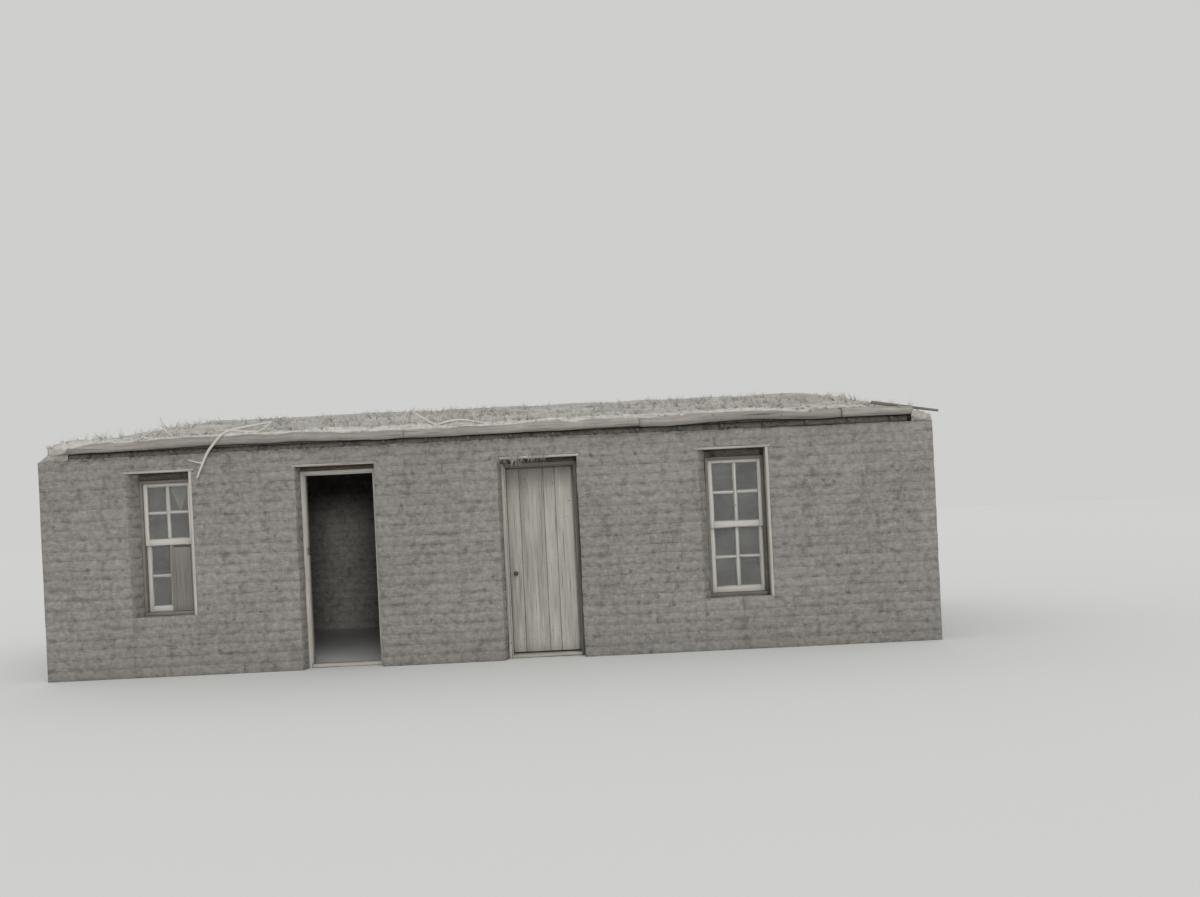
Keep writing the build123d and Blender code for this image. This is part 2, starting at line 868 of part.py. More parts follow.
# Latch: a knob outside and a latch box inside, at the free edge of the leaf
latch_x = leaf_left + latch_inset
middle_ledge_bottom = ledge_heights[1] - ledge_height / 2
latch_height = middle_ledge_bottom - latch_ledge_gap - latch_box_height / 2
with BuildPart() as door_latch:
    with BuildSketch(front_plane(leaf_front_y)):
        with Locations((latch_x, latch_height)):
            Circle(knob_neck_radius)
    extrude(amount=knob_reach - knob_radius)
    with Locations((latch_x, leaf_front_y - knob_reach + knob_radius, latch_height)):
        Sphere(knob_radius)
    box_left = leaf_left + latch_box_edge_gap
    box_low = (box_left, leaf_back_y, latch_height - latch_box_height / 2)
    box_high = (
        box_left + latch_box_width,
        leaf_back_y + latch_box_thickness,
        latch_height + latch_box_height / 2,
    )
    add(block(box_low, box_high))
save(door_latch.part, "east_door_latch")

# Keeper plate on the open doorway's west jamb
keeper_right = west_door.x - west_door.width / 2 - stop_width
save(
    block(
        (frame_left(west_door), frame_back_y, keeper_height - keeper_size / 2),
        (keeper_right, frame_back_y + keeper_thickness, keeper_height + keeper_size / 2),
    ),
    "west_door_keeper",
)
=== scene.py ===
import math
import random

import bmesh
import bpy
from mathutils import Matrix, Vector, noise
from mathutils.bvhtree import BVHTree


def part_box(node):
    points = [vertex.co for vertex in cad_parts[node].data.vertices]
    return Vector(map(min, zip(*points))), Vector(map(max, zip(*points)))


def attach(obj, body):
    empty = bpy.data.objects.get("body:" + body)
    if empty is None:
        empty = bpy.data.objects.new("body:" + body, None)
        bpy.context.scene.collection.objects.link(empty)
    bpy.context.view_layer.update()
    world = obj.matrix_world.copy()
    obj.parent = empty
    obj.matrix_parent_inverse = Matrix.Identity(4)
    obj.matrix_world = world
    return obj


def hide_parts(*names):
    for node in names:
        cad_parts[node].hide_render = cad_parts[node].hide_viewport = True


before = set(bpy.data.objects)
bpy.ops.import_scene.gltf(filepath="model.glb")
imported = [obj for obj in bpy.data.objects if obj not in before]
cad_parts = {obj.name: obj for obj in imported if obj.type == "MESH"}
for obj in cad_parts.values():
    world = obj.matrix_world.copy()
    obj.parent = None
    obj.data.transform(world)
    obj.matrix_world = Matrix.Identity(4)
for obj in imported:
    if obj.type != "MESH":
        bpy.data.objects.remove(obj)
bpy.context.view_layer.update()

# View. The camera stands level and square to the front wall, 13 m away and right of its middle.
# Its lens is shifted up a little and it leans to one side, as in the photograph.
scene = bpy.context.scene
quarter_turn = math.radians(90)
photo_width_pixels = 1200
focal_length_pixels = 1300
horizon_drop_pixels = 47.7
camera_lean = math.radians(2.75)
camera_place = (1.17, -15.7, 1.63)


def show(name, data):
    """Puts an object with the given camera, lamp or mesh in the scene."""
    thing = bpy.data.objects.new(name, data)
    scene.collection.objects.link(thing)
    return thing


camera_data = bpy.data.cameras.new("camera")
camera_data.sensor_width = 36
camera_data.lens = camera_data.sensor_width * focal_length_pixels / photo_width_pixels
camera_data.shift_x = -horizon_drop_pixels * math.sin(camera_lean) / photo_width_pixels
camera_data.shift_y = horizon_drop_pixels * math.cos(camera_lean) / photo_width_pixels
camera = show("camera", camera_data)
camera.location = camera_place
camera_turn = Matrix.Rotation(quarter_turn, 3, "X") @ Matrix.Rotation(-camera_lean, 3, "Z")
camera.rotation_euler = camera_turn.to_euler()
scene.camera = camera
scene.view_settings.view_transform = "Standard"

# Studio. A pale floor and an even pale world, with one soft lamp high on the right front, one
# straight from the front that reaches into the doorway, and a weak one behind.
floor_half_width = 60
lit_sky = ((236, 238, 240), 0.78)
seen_sky = ((242, 242, 241), 0.7)
# Each lamp has a strength, a softness in degrees and a direction.
lamps = {
    "main_lamp": (0.75, 35, (-0.3, 1.0, -0.85)),
    "front_lamp": (1.0, 8, (-0.2, 1.0, -0.1)),
    "back_lamp": (0.5, 60, (0.35, -1.0, -0.5)),
}


def shade(red, green, blue):
    """A colour given as 0 to 255 on the screen, as the nodes take it."""
    def linear(value):
        value /= 255
        return value / 12.92 if value <= 0.04045 else ((value + 0.055) / 1.055) ** 2.4

    return (linear(red), linear(green), linear(blue), 1)


def put(tree, kind, inputs=None, **settings):
    """Adds a shader node, makes its settings, and fills or links its inputs."""
    node = tree.nodes.new("ShaderNode" + kind)
    for name, value in settings.items():
        setattr(node, name, value)
    for name, value in (inputs or {}).items():
        if isinstance(value, bpy.types.NodeSocket):
            tree.links.new(value, node.inputs[name])
        else:
            node.inputs[name].default_value = value
    return node


def maths(tree, operation, *values):
    """Does one sum with numbers or sockets."""
    return put(tree, "Math", dict(enumerate(values)), operation=operation).outputs[0]


def layered(tree, colour, *layers):
    """Lays screen colours over one another, each as far as its mask says."""
    colour = shade(*colour)
    for mask, over in layers:
        colour = put(tree, "Mix", {0: mask, 6: colour, 7: shade(*over)}, data_type="RGBA").outputs[2]
    return colour


def new_material(name):
    """An empty material and its node tree."""
    material = bpy.data.materials.new(name)
    material.use_nodes = True
    material.node_tree.nodes.clear()
    return material, material.node_tree


def end_material(tree, inputs):
    """Ends a material with one Principled shader."""
    shader = put(tree, "BsdfPrincipled", inputs)
    put(tree, "OutputMaterial", {"Surface": shader.outputs[0]})


def as_mesh(solid, name):
    """Turns a bmesh into a mesh and frees it."""
    mesh = bpy.data.meshes.new(name)
    solid.to_mesh(mesh)
    solid.free()
    return mesh


floor_material, floor_tree = new_material("pale_floor")
floor_speckle = put(floor_tree, "TexNoise", {"Scale": 3.0, "Detail": 4.0}).outputs["Fac"]
floor_colour = layered(floor_tree, (216, 215, 212), (floor_speckle, (220, 219, 216)))
end_material(floor_tree, {"Base Color": floor_colour, "Roughness": 0.95, "Specular IOR Level": 0.0})
floor_grid = bmesh.new()
bmesh.ops.create_grid(floor_grid, x_segments=4, y_segments=4, size=floor_half_width)
floor_mesh = as_mesh(floor_grid, "floor")
floor_mesh.materials.append(floor_material)
show("floor", floor_mesh)

scene.world = bpy.data.worlds.new("pale_world")
scene.world.use_nodes = True
sky_tree = scene.world.node_tree
sky_tree.nodes.clear()
rays = put(sky_tree, "LightPath").outputs
seen_share = maths(sky_tree, "MAXIMUM", rays["Is Camera Ray"], rays["Is Glossy Ray"])
seen_share = maths(sky_tree, "MAXIMUM", seen_share, rays["Is Transmission Ray"])
sky_light, sky_backdrop = (
    put(sky_tree, "Background", {"Color": shade(*colour), "Strength": strength}).outputs[0]
    for colour, strength in (lit_sky, seen_sky)
)
sky = put(sky_tree, "MixShader", {0: seen_share, 1: sky_light, 2: sky_backdrop})
put(sky_tree, "OutputWorld", {"Surface": sky.outputs[0]})

for name, (strength, softness, direction) in lamps.items():
    lamp_data = bpy.data.lights.new(name, "SUN")
    lamp_data.energy = strength
    lamp_data.angle = math.radians(softness)
    show(name, lamp_data).rotation_euler = Vector(direction).to_track_quat("-Z", "Y").to_euler()

# Sod walls. Blocks of cut prairie sod, 0.61 m thick, are laid in level courses like bricks.
# Their faces were shaved flat with a spade, so joints show only as soft lines and small steps.
course_count = 26
course_height = 0.102
course_wander = 0.008
top_courses_start = 20
thinnest_course = 0.05
level_margin = 0.02
sod_length_range = (0.34, 0.66)
shortest_sod = 0.26
first_sod_share = 0.7
sod_edge_width = 0.0014
sod_step = 0.0018
sod_strip_length = 0.052
sod_strip_height = 0.05
sod_strip_depth = 0.15
joint_reach = 0.014
house_half_length = 4.57
house_half_depth = 2.44
corner_seam_y = house_half_depth - 0.61
corner_seam_reach = 0.01
sharp_angle = math.radians(25)
outer_rim = 0.015
noise_seed = 5
# Bends, lumps and roughness of a sod, each as waves a metre and how far they push its face.
sod_waves = ((2.3, 0.007), (8.5, 0.004), (27, 0.002))


def solid_copy(node):
    """A closed copy of a CAD node, its flat faces each in one piece."""
    copy = bmesh.new()
    copy.from_mesh(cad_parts[node].data)
    bmesh.ops.remove_doubles(copy, verts=copy.verts, dist=0.00002)
    bmesh.ops.dissolve_limit(copy, angle_limit=math.radians(1), verts=copy.verts, edges=copy.edges)
    return copy


def close_holes(solid):
    bmesh.ops.holes_fill(solid, edges=[edge for edge in solid.edges if edge.is_boundary])


def cut(solid, axis, place, side=0):
    """Cuts a line round a solid. With a side of 1 or -1 it drops that side and closes the cut."""
    across = Matrix.Identity(3)[axis]
    bmesh.ops.bisect_plane(
        solid, geom=solid.verts[:] + solid.edges[:] + solid.faces[:],
        plane_co=across * place, plane_no=across * (side or 1), clear_outer=side != 0,
    )
    if side:
        close_holes(solid)


def score(solid, axis, low, high, length):
    """Cuts evenly spaced lines round a solid between two places, about a length apart."""
    count = max(1, round((high - low) / length))
    for index in range(1, count):
        cut(solid, axis, low + (high - low) * index / count)


def extent(solid, axis):
    places = [vert.co[axis] for vert in solid.verts]
    return min(places), max(places)


def soften(solid, width, spared=()):
    """Bevels the sharp edges of a solid, apart from the spared ones."""
    edges = [
        edge for edge in solid.edges
        if edge.calc_face_angle(0) > sharp_angle and edge not in spared
    ]
    bmesh.ops.bevel(
        solid, geom=edges, offset=width, segments=1, profile=0.5, affect="EDGES",
        clamp_overlap=True, material=-1,
    )


def keep_inside(place, shift):
    """Turns a shift inwards where it would move a point out of the house's outer faces."""
    for axis, half in enumerate((house_half_length, house_half_depth)):
        if abs(place[axis]) > half - outer_rim:
            shift[axis] = -math.copysign(shift[axis], place[axis])
    if place.z < outer_rim:
        shift.z = abs(shift.z)
    return shift


def pour(solid, target):
    """Moves a finished bmesh into a larger one."""
    mesh = as_mesh(solid, "poured")
    target.from_mesh(mesh)
    bpy.data.meshes.remove(mesh)


def make_piece(solid, name, material, slot, *replaced, body="house", smooth=True):
    """Turns a bmesh into a piece that rides on a body and stands for the given CAD nodes."""
    for face in solid.faces:
        face.smooth = smooth
    piece = show(name, as_mesh(solid, name))
    piece.data.materials.append(material)
    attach(piece, body)
    if replaced:
        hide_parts(*replaced)
    return piece


def corner_seams(solid):
    """The edges of a solid that lie where a long wall's end face meets an end wall."""
    at_seam = {
        vert for vert in solid.verts
        if abs(abs(vert.co.y) - corner_seam_y) < 2 * sod_edge_width
        and abs(vert.co.x) > house_half_length - corner_seam_reach
    }
    return [edge for edge in solid.edges if at_seam.issuperset(edge.verts)]


def split_course(start, end, rng):
    """The places where a course is cut into sods, its two ends included."""
    ends = [start]
    while end - ends[-1] > sod_length_range[1] + shortest_sod:
        ends.append(ends[-1] + rng.uniform(*sod_length_range) * (first_sod_share if len(ends) == 1 else 1))
    if end - ends[-1] > 2 * shortest_sod:
        ends.append((ends[-1] + end) / 2)
    return (*ends, end)


def lay_sods(wall, node, axis, seed):
    """Cuts one CAD wall node into courses of single sods and adds them to a wall's bmesh."""
    rng = random.Random(seed)
    whole = solid_copy(node)
    low_z, high_z = extent(whole, 2)
    bottom = low_z
    tops = [top for top in course_tops if low_z + thinnest_course < top < high_z - thinnest_course]
    for top in (*tops, high_z):
        course = whole.copy()
        if bottom > low_z:
            cut(course, 2, bottom, -1)
        if top < high_z:
            cut(course, 2, top, 1)
        lapped = sum(level < bottom + level_margin for level in course_tops) % 2 == 0
        ends_show = axis == 1 and not lapped
        start, end = extent(course, axis)
        ends = split_course(start, end, rng)
        for near, far in zip(ends, ends[1:]):
            sod = course.copy()
            if near > start:
                cut(sod, axis, near, -1)
            if far < end:
                cut(sod, axis, far, 1)
            score(sod, axis, near, far, sod_strip_length)
            score(sod, 2, bottom, top, sod_strip_height)
            if near == start or far == end:
                score(sod, 1 - axis, *extent(sod, 1 - axis), sod_strip_depth)
            soften(sod, sod_edge_width, spared=corner_seams(sod))
            for edge in corner_seams(sod):
                edge.smooth = False
            tone_layer = sod.verts.layers.float.new("tone")
            joint_layer = sod.verts.layers.float.new("joint")
            tone = rng.random()
            step = rng.uniform(0, sod_step)
            for vert in sod.verts:
                place = vert.co.copy()
                shift = Vector()
                for pitch, reach in sod_waves:
                    shift += noise.noise_vector(place * pitch) * reach
                if abs(place[1 - axis]) > outer_rim:
                    shift[1 - axis] -= math.copysign(step, place[1 - axis])
                vert.co = place + keep_inside(place, shift)
                vert[tone_layer] = tone
                to_joint = min(
                    place[axis] - near if near > start or ends_show else joint_reach,
                    far - place[axis] if far < end or ends_show else joint_reach,
                    place.z - bottom,
                    top - place.z if top < high_z else joint_reach,
                )
                vert[joint_layer] = max(0.0, 1 - to_joint / joint_reach)
            pour(sod, wall)
        course.free()
        bottom = top
    whole.free()


def new_group(name, inputs, outputs):
    """A shader node group with its sockets. An input without a number is a vector."""
    group = bpy.data.node_groups.new(name, "ShaderNodeTree")
    for socket_name, value in inputs.items():
        kind = "NodeSocketVector" if value is None else "NodeSocketFloat"
        socket = group.interface.new_socket(socket_name, in_out="INPUT", socket_type=kind)
        if value is not None:
            socket.default_value = value
    for socket_name in outputs:
        group.interface.new_socket(socket_name, in_out="OUTPUT", socket_type="NodeSocketFloat")
    return group, group.nodes.new("NodeGroupInput").outputs, group.nodes.new("NodeGroupOutput").inputs


def noise_at(tree, vector, scale, detail, roughness=0.5, distortion=0.0, output="Fac"):
    inputs = {
        "Vector": vector, "Scale": scale, "Detail": detail, "Roughness": roughness, "Distortion": distortion,
    }
    return put(tree, "TexNoise", inputs).outputs[output]


def spread(tree, value, low, high, top=1.0):
    """Stretches what lies between two levels to 0 and a top, and clips the rest."""
    inputs = {"Value": value, "From Min": low, "From Max": high, "To Max": top}
    return put(tree, "MapRange", inputs).outputs[0]


def weighted(tree, total, *parts):
    """Adds sockets to a number or a socket, each times its share."""
    for socket, share in parts:
        total = maths(tree, "MULTIPLY_ADD", socket, share, total)
    return total


def stretched(tree, vector, scale):
    return put(tree, "Mapping", {"Vector": vector, "Scale": scale}).outputs[0]


def object_place(tree):
    return put(tree, "TexCoord").outputs["Object"]


def attribute(tree, name, output="Fac"):
    return put(tree, "Attribute", attribute_name=name).outputs[output]


def bumped(tree, height, strength, distance):
    return put(tree, "Bump", {"Height": height, "Strength": strength, "Distance": distance}).outputs[0]


# Effect shared by earth, wood, glass, cloth and iron: broad patches, fine mottling and small pits.
pit_wobble = (0.05, 0.05, 0.05)
mottle_group, given, wanted = new_group(
    "mottle",
    {"Vector": None, "Patch Scale": 2.0, "Speck Scale": 30.0, "Pit Scale": 16.0, "Pit Size": 0.3},
    ("Patches", "Specks", "Pits"),
)
patch_noise = noise_at(
    mottle_group, given["Vector"], given["Patch Scale"], detail=5.0, roughness=0.6, distortion=0.4,
)
speck_noise = noise_at(mottle_group, given["Vector"], given["Speck Scale"], detail=7.0, roughness=0.68)
wobble_noise = noise_at(mottle_group, given["Vector"], given["Speck Scale"], detail=2.0, output="Color")
pit_place = put(
    mottle_group, "VectorMath", {0: wobble_noise, 1: pit_wobble, 2: given["Vector"]},
    operation="MULTIPLY_ADD",
).outputs[0]
pit_distance = put(
    mottle_group, "TexVoronoi", {"Vector": pit_place, "Scale": given["Pit Scale"], "Randomness": 1.0},
).outputs["Distance"]
for name, value, low, high in (
    ("Patches", patch_noise, 0.32, 0.68),
    ("Specks", speck_noise, 0.3, 0.7),
    ("Pits", pit_distance, given["Pit Size"], 0.04),
):
    mottle_group.links.new(spread(mottle_group, value, low, high), wanted[name])


def mottled(tree, vector, patch_scale, speck_scale, pit_scale, pit_size):
    """The mottle effect with a material's own values."""
    inputs = {
        "Vector": vector, "Patch Scale": patch_scale, "Speck Scale": speck_scale,
        "Pit Scale": pit_scale, "Pit Size": pit_size,
    }
    return put(tree, "Group", inputs, node_tree=mottle_group).outputs


def earth_material(name, dark, light, deep, root_colour, bump, splash, tone_share):
    """Cut or heaped earth: mottled, with flat-lying fibres, darker crumbs, roots and pits."""
    material, tree = new_material(name)
    place = object_place(tree)
    mottle = mottled(tree, place, 1.3, 21.0, 5.5, 0.15)
    fibres = noise_at(tree, stretched(tree, place, (1.0, 1.0, 4.5)), 13.0, detail=6.0, roughness=0.62)
    lumps = noise_at(tree, place, 9.0, detail=4.0, roughness=0.55, distortion=0.8)
    roots = noise_at(tree, stretched(tree, place, (26.0, 26.0, 9.0)), 2.6, detail=3.0, distortion=1.6)
    mixed = weighted(
        tree, -0.6, (mottle["Specks"], 0.7), (fibres, 1.0), (lumps, 0.3), (mottle["Patches"], 0.22),
        (attribute(tree, "tone"), tone_share),
    )
    joint = maths(tree, "MULTIPLY", attribute(tree, "joint"), spread(tree, lumps, 0.5, 0.36, top=0.4))
    height_above_ground = put(tree, "SeparateXYZ", {0: place}).outputs["Z"]
    wet = spread(tree, height_above_ground, 0.42, 0.0, top=splash)
    colour = layered(
        tree, dark, (mixed, light), (joint, deep),
        (spread(tree, roots, 0.655, 0.71, top=0.75), root_colour),
        (maths(tree, "MULTIPLY", mottle["Pits"], 0.65), deep),
        (maths(tree, "MULTIPLY", wet, mottle["Patches"]), deep),
    )
    relief = weighted(tree, fibres, (mottle["Specks"], 0.6), (lumps, 1.2), (mottle["Pits"], -1), (joint, -1))
    end_material(tree, {
        "Base Color": colour, "Roughness": weighted(tree, 0.9, (mottle["Specks"], 0.08)),
        "Normal": bumped(tree, relief, bump, 0.012),
    })
    return material


noise.seed_set(noise_seed)
level_random = random.Random(11)
course_tops = []
for course in range(1, course_count + 1):
    wander = 0 if course == top_courses_start else level_random.uniform(-course_wander, course_wander)
    course_tops.append(course * course_height + wander)
sod_material = earth_material(
    "shaved_sod", (99, 96, 91), (148, 144, 138), (74, 72, 68), (154, 150, 143),
    bump=0.55, splash=0.4, tone_share=0.06,
)
front_wall = bmesh.new()
front_nodes = (
    "front_pier_west_corner", "front_pier_west", "front_pier_middle", "front_pier_east",
    "front_pier_east_corner", "sods_below_west_window", "sods_below_east_window", "front_top_courses",
)
for seed, node in enumerate(front_nodes):
    lay_sods(front_wall, node, 0, seed + 1)
make_piece(front_wall, "front_wall_sods", sod_material, "sod", *front_nodes)
for seed, (node, axis) in enumerate((("west_end_wall", 1), ("east_end_wall", 1), ("back_wall", 0))):
    other_wall = bmesh.new()
    lay_sods(other_wall, node, axis, seed + 21)
    make_piece(other_wall, node + "_sods", sod_material, "sod", node)

# Roof poles. Twenty straight young trunks run from the front wall to the back, butts to the back.
# They are peeled and grey, each a little crooked, and their thin front tips are hewn from below.
pole_count = 20
pole_low, pole_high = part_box("roof_poles")
pole_radii = (0.0345, 0.0445)
pole_skin = 0.002
pole_sway = 0.006
pole_side_inset = 0.045
pole_end_margin = 0.006
pole_setback = 0.046
pole_hewn_share = 0.024
pole_tip_share = 0.5
roof_slope = math.atan2(0.475, 4.88)
# Lumps of a rough timber, as waves a metre and a share of its roughness.
timber_waves = ((5, 1), (24, 0.4))


def between(low, high, share):
    return low + (high - low) * share


def smooth_line(points, spacing):
    """Places along a curve through the points. Each has x, y, z and a radius."""
    line = []
    padded = [points[0], *points, points[-1]]
    for group in zip(padded, padded[1:], padded[2:], padded[3:]):
        before, start, end, after = (Vector(point) for point in group)
        count = max(1, round((end - start).to_3d().length / spacing)) if spacing else 1
        for index in range(count):
            t = index / count
            line.append(0.5 * (
                2 * start + (end - before) * t
                + (2 * before - 5 * start + 4 * end - after) * t ** 2
                + (3 * start - before - 3 * end + after) * t ** 3
            ))
    line.append(Vector(points[-1]))
    return line


def grow_round(target, points, seed, sides=10, spacing=0.06, rough=0.0, tone=0.5, side=(0, 1, 0)):
    """Adds a tapered round timber, limb or stem, grown along a curve through the points."""
    line = smooth_line(points, spacing)
    timber = bmesh.new()
    grain_layer = timber.verts.layers.float_vector.new("grain")
    tone_layer = timber.verts.layers.float.new("tone")
    offset = Vector((seed * 1.37, seed * 0.71, seed * 2.13))
    frames = []
    for index, station in enumerate(line):
        ahead = line[min(index + 1, len(line) - 1)].to_3d() - line[max(index - 1, 0)].to_3d()
        forward = ahead.normalized()
        across = Vector(side).cross(forward).normalized()
        turn = Matrix((across, forward.cross(across), forward)).transposed().to_4x4()
        width = Matrix.Diagonal((station.w, station.w, 1, 1))
        frames.append(Matrix.Translation(station.to_3d()) @ turn @ width)
    ring = bmesh.ops.create_circle(
        timber, cap_ends=True, segments=sides, radius=1, matrix=frames[0],
    )["verts"]
    rings = [ring]
    for index in range(1, len(frames)):
        edges = [edge for edge in timber.edges if edge.verts[0] in ring and edge.verts[1] in ring]
        grown = bmesh.ops.extrude_edge_only(timber, edges=edges)["geom"]
        ring = [part for part in grown if isinstance(part, bmesh.types.BMVert)]
        bmesh.ops.transform(timber, matrix=frames[index] @ frames[index - 1].inverted(), verts=ring)
        rings.append(ring)
    close_holes(timber)
    distance = 0
    for index, ring in enumerate(rings):
        if index:
            distance += (line[index].to_3d() - line[index - 1].to_3d()).length
        inverse = frames[index].to_3x3().inverted()
        for vert in ring:
            local = inverse @ (vert.co - frames[index].translation) * line[index].w
            vert[grain_layer] = Vector((distance, local.x, local.y)) + offset
            vert[tone_layer] = tone
            for pitch, share in timber_waves if rough else ():
                vert.co += noise.noise_vector(vert.co * pitch + offset) * rough * share
    bmesh.ops.recalc_face_normals(timber, faces=timber.faces)
    pour(timber, target)


# Effect shared by all wood: streaks along the grain, broad bands and fine drying cracks.
grain_group, given, wanted = new_group(
    "grain", {"Vector": None, "Streak Scale": 70.0, "Crack Scale": 110.0}, ("Streaks", "Bands", "Cracks"),
)
for name, stretch, scale, detail, roughness, low, high in (
    ("Streaks", 0.035, given["Streak Scale"], 5.0, 0.6, 0.3, 0.7),
    ("Bands", 0.12, 11.0, 3.0, 0.5, 0.35, 0.65),
    ("Cracks", 0.016, given["Crack Scale"], 2.0, 0.5, 0.63, 0.69),
):
    grain_line = stretched(grain_group, given["Vector"], (stretch, 1.0, 1.0))
    grain_noise = noise_at(grain_group, grain_line, scale, detail, roughness)
    grain_group.links.new(spread(grain_group, grain_noise, low, high), wanted[name])


def wood_material(name, dark, light, deep, patch, bump=0.35, patch_share=0.5, lengthwise=False):
    """Weathered wood. The grain follows each timber's own line, or else the length of the house."""
    material, tree = new_material(name)
    line = object_place(tree) if lengthwise else attribute(tree, "grain", "Vector")
    grain = put(tree, "Group", {"Vector": line}, node_tree=grain_group).outputs
    mottle = mottled(tree, line, 5.0, 60.0, 7.0, 0.07)
    mixed = weighted(
        tree, -0.02, (grain["Streaks"], 0.42), (grain["Bands"], 0.28), (attribute(tree, "tone"), 0.34),
    )
    colour = layered(
        tree, dark, (mixed, light),
        (maths(tree, "MULTIPLY", mottle["Patches"], patch_share), patch),
        (maths(tree, "MULTIPLY", grain["Cracks"], 0.75), deep), (mottle["Pits"], deep),
    )
    relief = weighted(tree, mottle["Specks"], (grain["Streaks"], 0.5), (grain["Cracks"], -1))
    end_material(tree, {
        "Base Color": colour, "Roughness": weighted(tree, 0.75, (grain["Streaks"], 0.15)),
        "Normal": bumped(tree, relief, bump, 0.003),
    })
    return material


# Painted shade: the pole wood is given dark colours so that the pole ends under the eave logs read as shade.
shade_dark_pole_material = wood_material("roof_pole", (56, 53, 49), (96, 92, 86), (38, 36, 33), (72, 69, 64))
pole_random = random.Random(5)
poles = bmesh.new()
for index in range(pole_count):
    pole_x = between(pole_low.x + pole_side_inset, pole_high.x - pole_side_inset, index / (pole_count - 1))
    points = []
    for share in (0, pole_hewn_share, 0.25, 0.5, 0.75, 1):
        radius = between(*pole_radii, share)
        left = 1 if share else pole_tip_share
        under_z = between(pole_low.z, pole_high.z - 2 * pole_radii[1], share)
        sway = pole_random.uniform(-pole_sway, pole_sway) * (0.1 < share < 1)
        points.append((
            pole_x + sway, between(pole_low.y + pole_setback, pole_high.y - pole_end_margin, share),
            under_z + radius * (2 - left) / math.cos(roof_slope), radius * left - pole_skin,
        ))
    grow_round(
        poles, points, index + 1, sides=12, spacing=0.16, rough=0.002,
        tone=pole_random.random(), side=(1, 0, 0),
    )
make_piece(poles, "roof_poles_round", shade_dark_pole_material, "log", "roof_poles")

# Wall plates. One wide plank lies on top of the front wall and one on the back wall, let into the
# sods, and carries the poles. Both are old sawn boards gone brown, hardly seen from outside.
plate_material = wood_material(
    "old_plank", (84, 80, 74), (132, 128, 119), (52, 50, 46), (100, 96, 90), lengthwise=True,
)


def dress(node, material):
    """Gives a CAD node its own better material."""
    for material_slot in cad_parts[node].material_slots:
        material_slot.material = material


dress("wall_plates", plate_material)

# Brush layer. Willow brush and slough hay, 40 mm thick, lie on the poles and carry the sods.
# The cut ends show as a dark fringe under the eave logs, thicker towards the east end.
brush_ends_count = 420
brush_end_length = 0.075
brush_end_inset = 0.03
brush_end_rise = 0.036
brush_end_bias = 0.7


def straw_material(name, dark, light, deep, stretch):
    """Hay, straw and brush packed together, with strands that run mostly one way."""
    material, tree = new_material(name)
    place = object_place(tree)
    strands = noise_at(tree, stretched(tree, place, stretch), 16.0, detail=6.0, distortion=1.2)
    clumps = noise_at(tree, place, 5.0, detail=3.0)
    amount = weighted(tree, spread(tree, strands, 0.34, 0.68), (attribute(tree, "tone"), 0.5))
    colour = layered(
        tree, dark, (maths(tree, "MULTIPLY", amount, 0.72), light),
        (maths(tree, "MULTIPLY", spread(tree, clumps, 0.56, 0.7), 0.6), deep),
    )
    end_material(tree, {
        "Base Color": colour, "Roughness": 0.92, "Normal": bumped(tree, strands, 0.8, 0.01),
    })
    return material


def grow_tuft(seed, blades, height, spread_out, thickness):
    """A small mesh of curved blades or stems that rise from the origin."""
    rng = random.Random(seed)
    tuft = bmesh.new()
    for blade in range(blades):
        turn = rng.uniform(0, math.tau)
        outwards = Vector((math.cos(turn), math.sin(turn), 0))
        base = outwards * rng.uniform(0, 0.1) * height
        lean = outwards * rng.uniform(0.2, 1) * spread_out
        rise = Vector((0, 0, height * rng.uniform(0.55, 1)))
        points = (
            (*base, thickness),
            (*(base + lean * 0.35 + rise * 0.6), thickness * 0.75),
            (*(base + lean + rise), thickness * 0.2),
        )
        grow_round(tuft, points, rng.randrange(90), sides=3, spacing=0)
    return as_mesh(tuft, "tuft")


def scatter(target, shapes, places):
    """Adds a copy of one small mesh for each number, matrix and tone."""
    for number, matrix, tone in places:
        shape = shapes[number % len(shapes)]
        shape.attributes["tone"].data.foreach_set("value", [tone] * len(shape.vertices))
        shape.transform(matrix)
        target.from_mesh(shape)
        shape.transform(matrix.inverted())


def pick(rng, *spans):
    """One number drawn from each span. A plain number stays as it is."""
    return tuple(rng.uniform(*span) if isinstance(span, tuple) else span for span in spans)


def strewn(rng, number, place, direction, size):
    """An entry for scatter: a tuft at a place, pointed along a direction, rolled at random."""
    turn = Vector(direction).to_track_quat("Z", "Y").to_matrix().to_4x4()
    roll, size = pick(rng, (0, math.tau), size)
    matrix = Matrix.Translation(place) @ turn @ Matrix.Rotation(roll, 4, "Z") @ Matrix.Scale(size, 4)
    return number, matrix, rng.random()


def strew(target, shapes, rng, count, place, direction, size, skips=None):
    """Scatters tufts. Their places, directions and sizes are drawn from spans."""
    entries = []
    for number in range(count):
        spot = pick(rng, *place)
        if not (skips and skips(spot)):
            entries.append(strewn(rng, number, spot, pick(rng, *direction), size))
    scatter(target, shapes, entries)


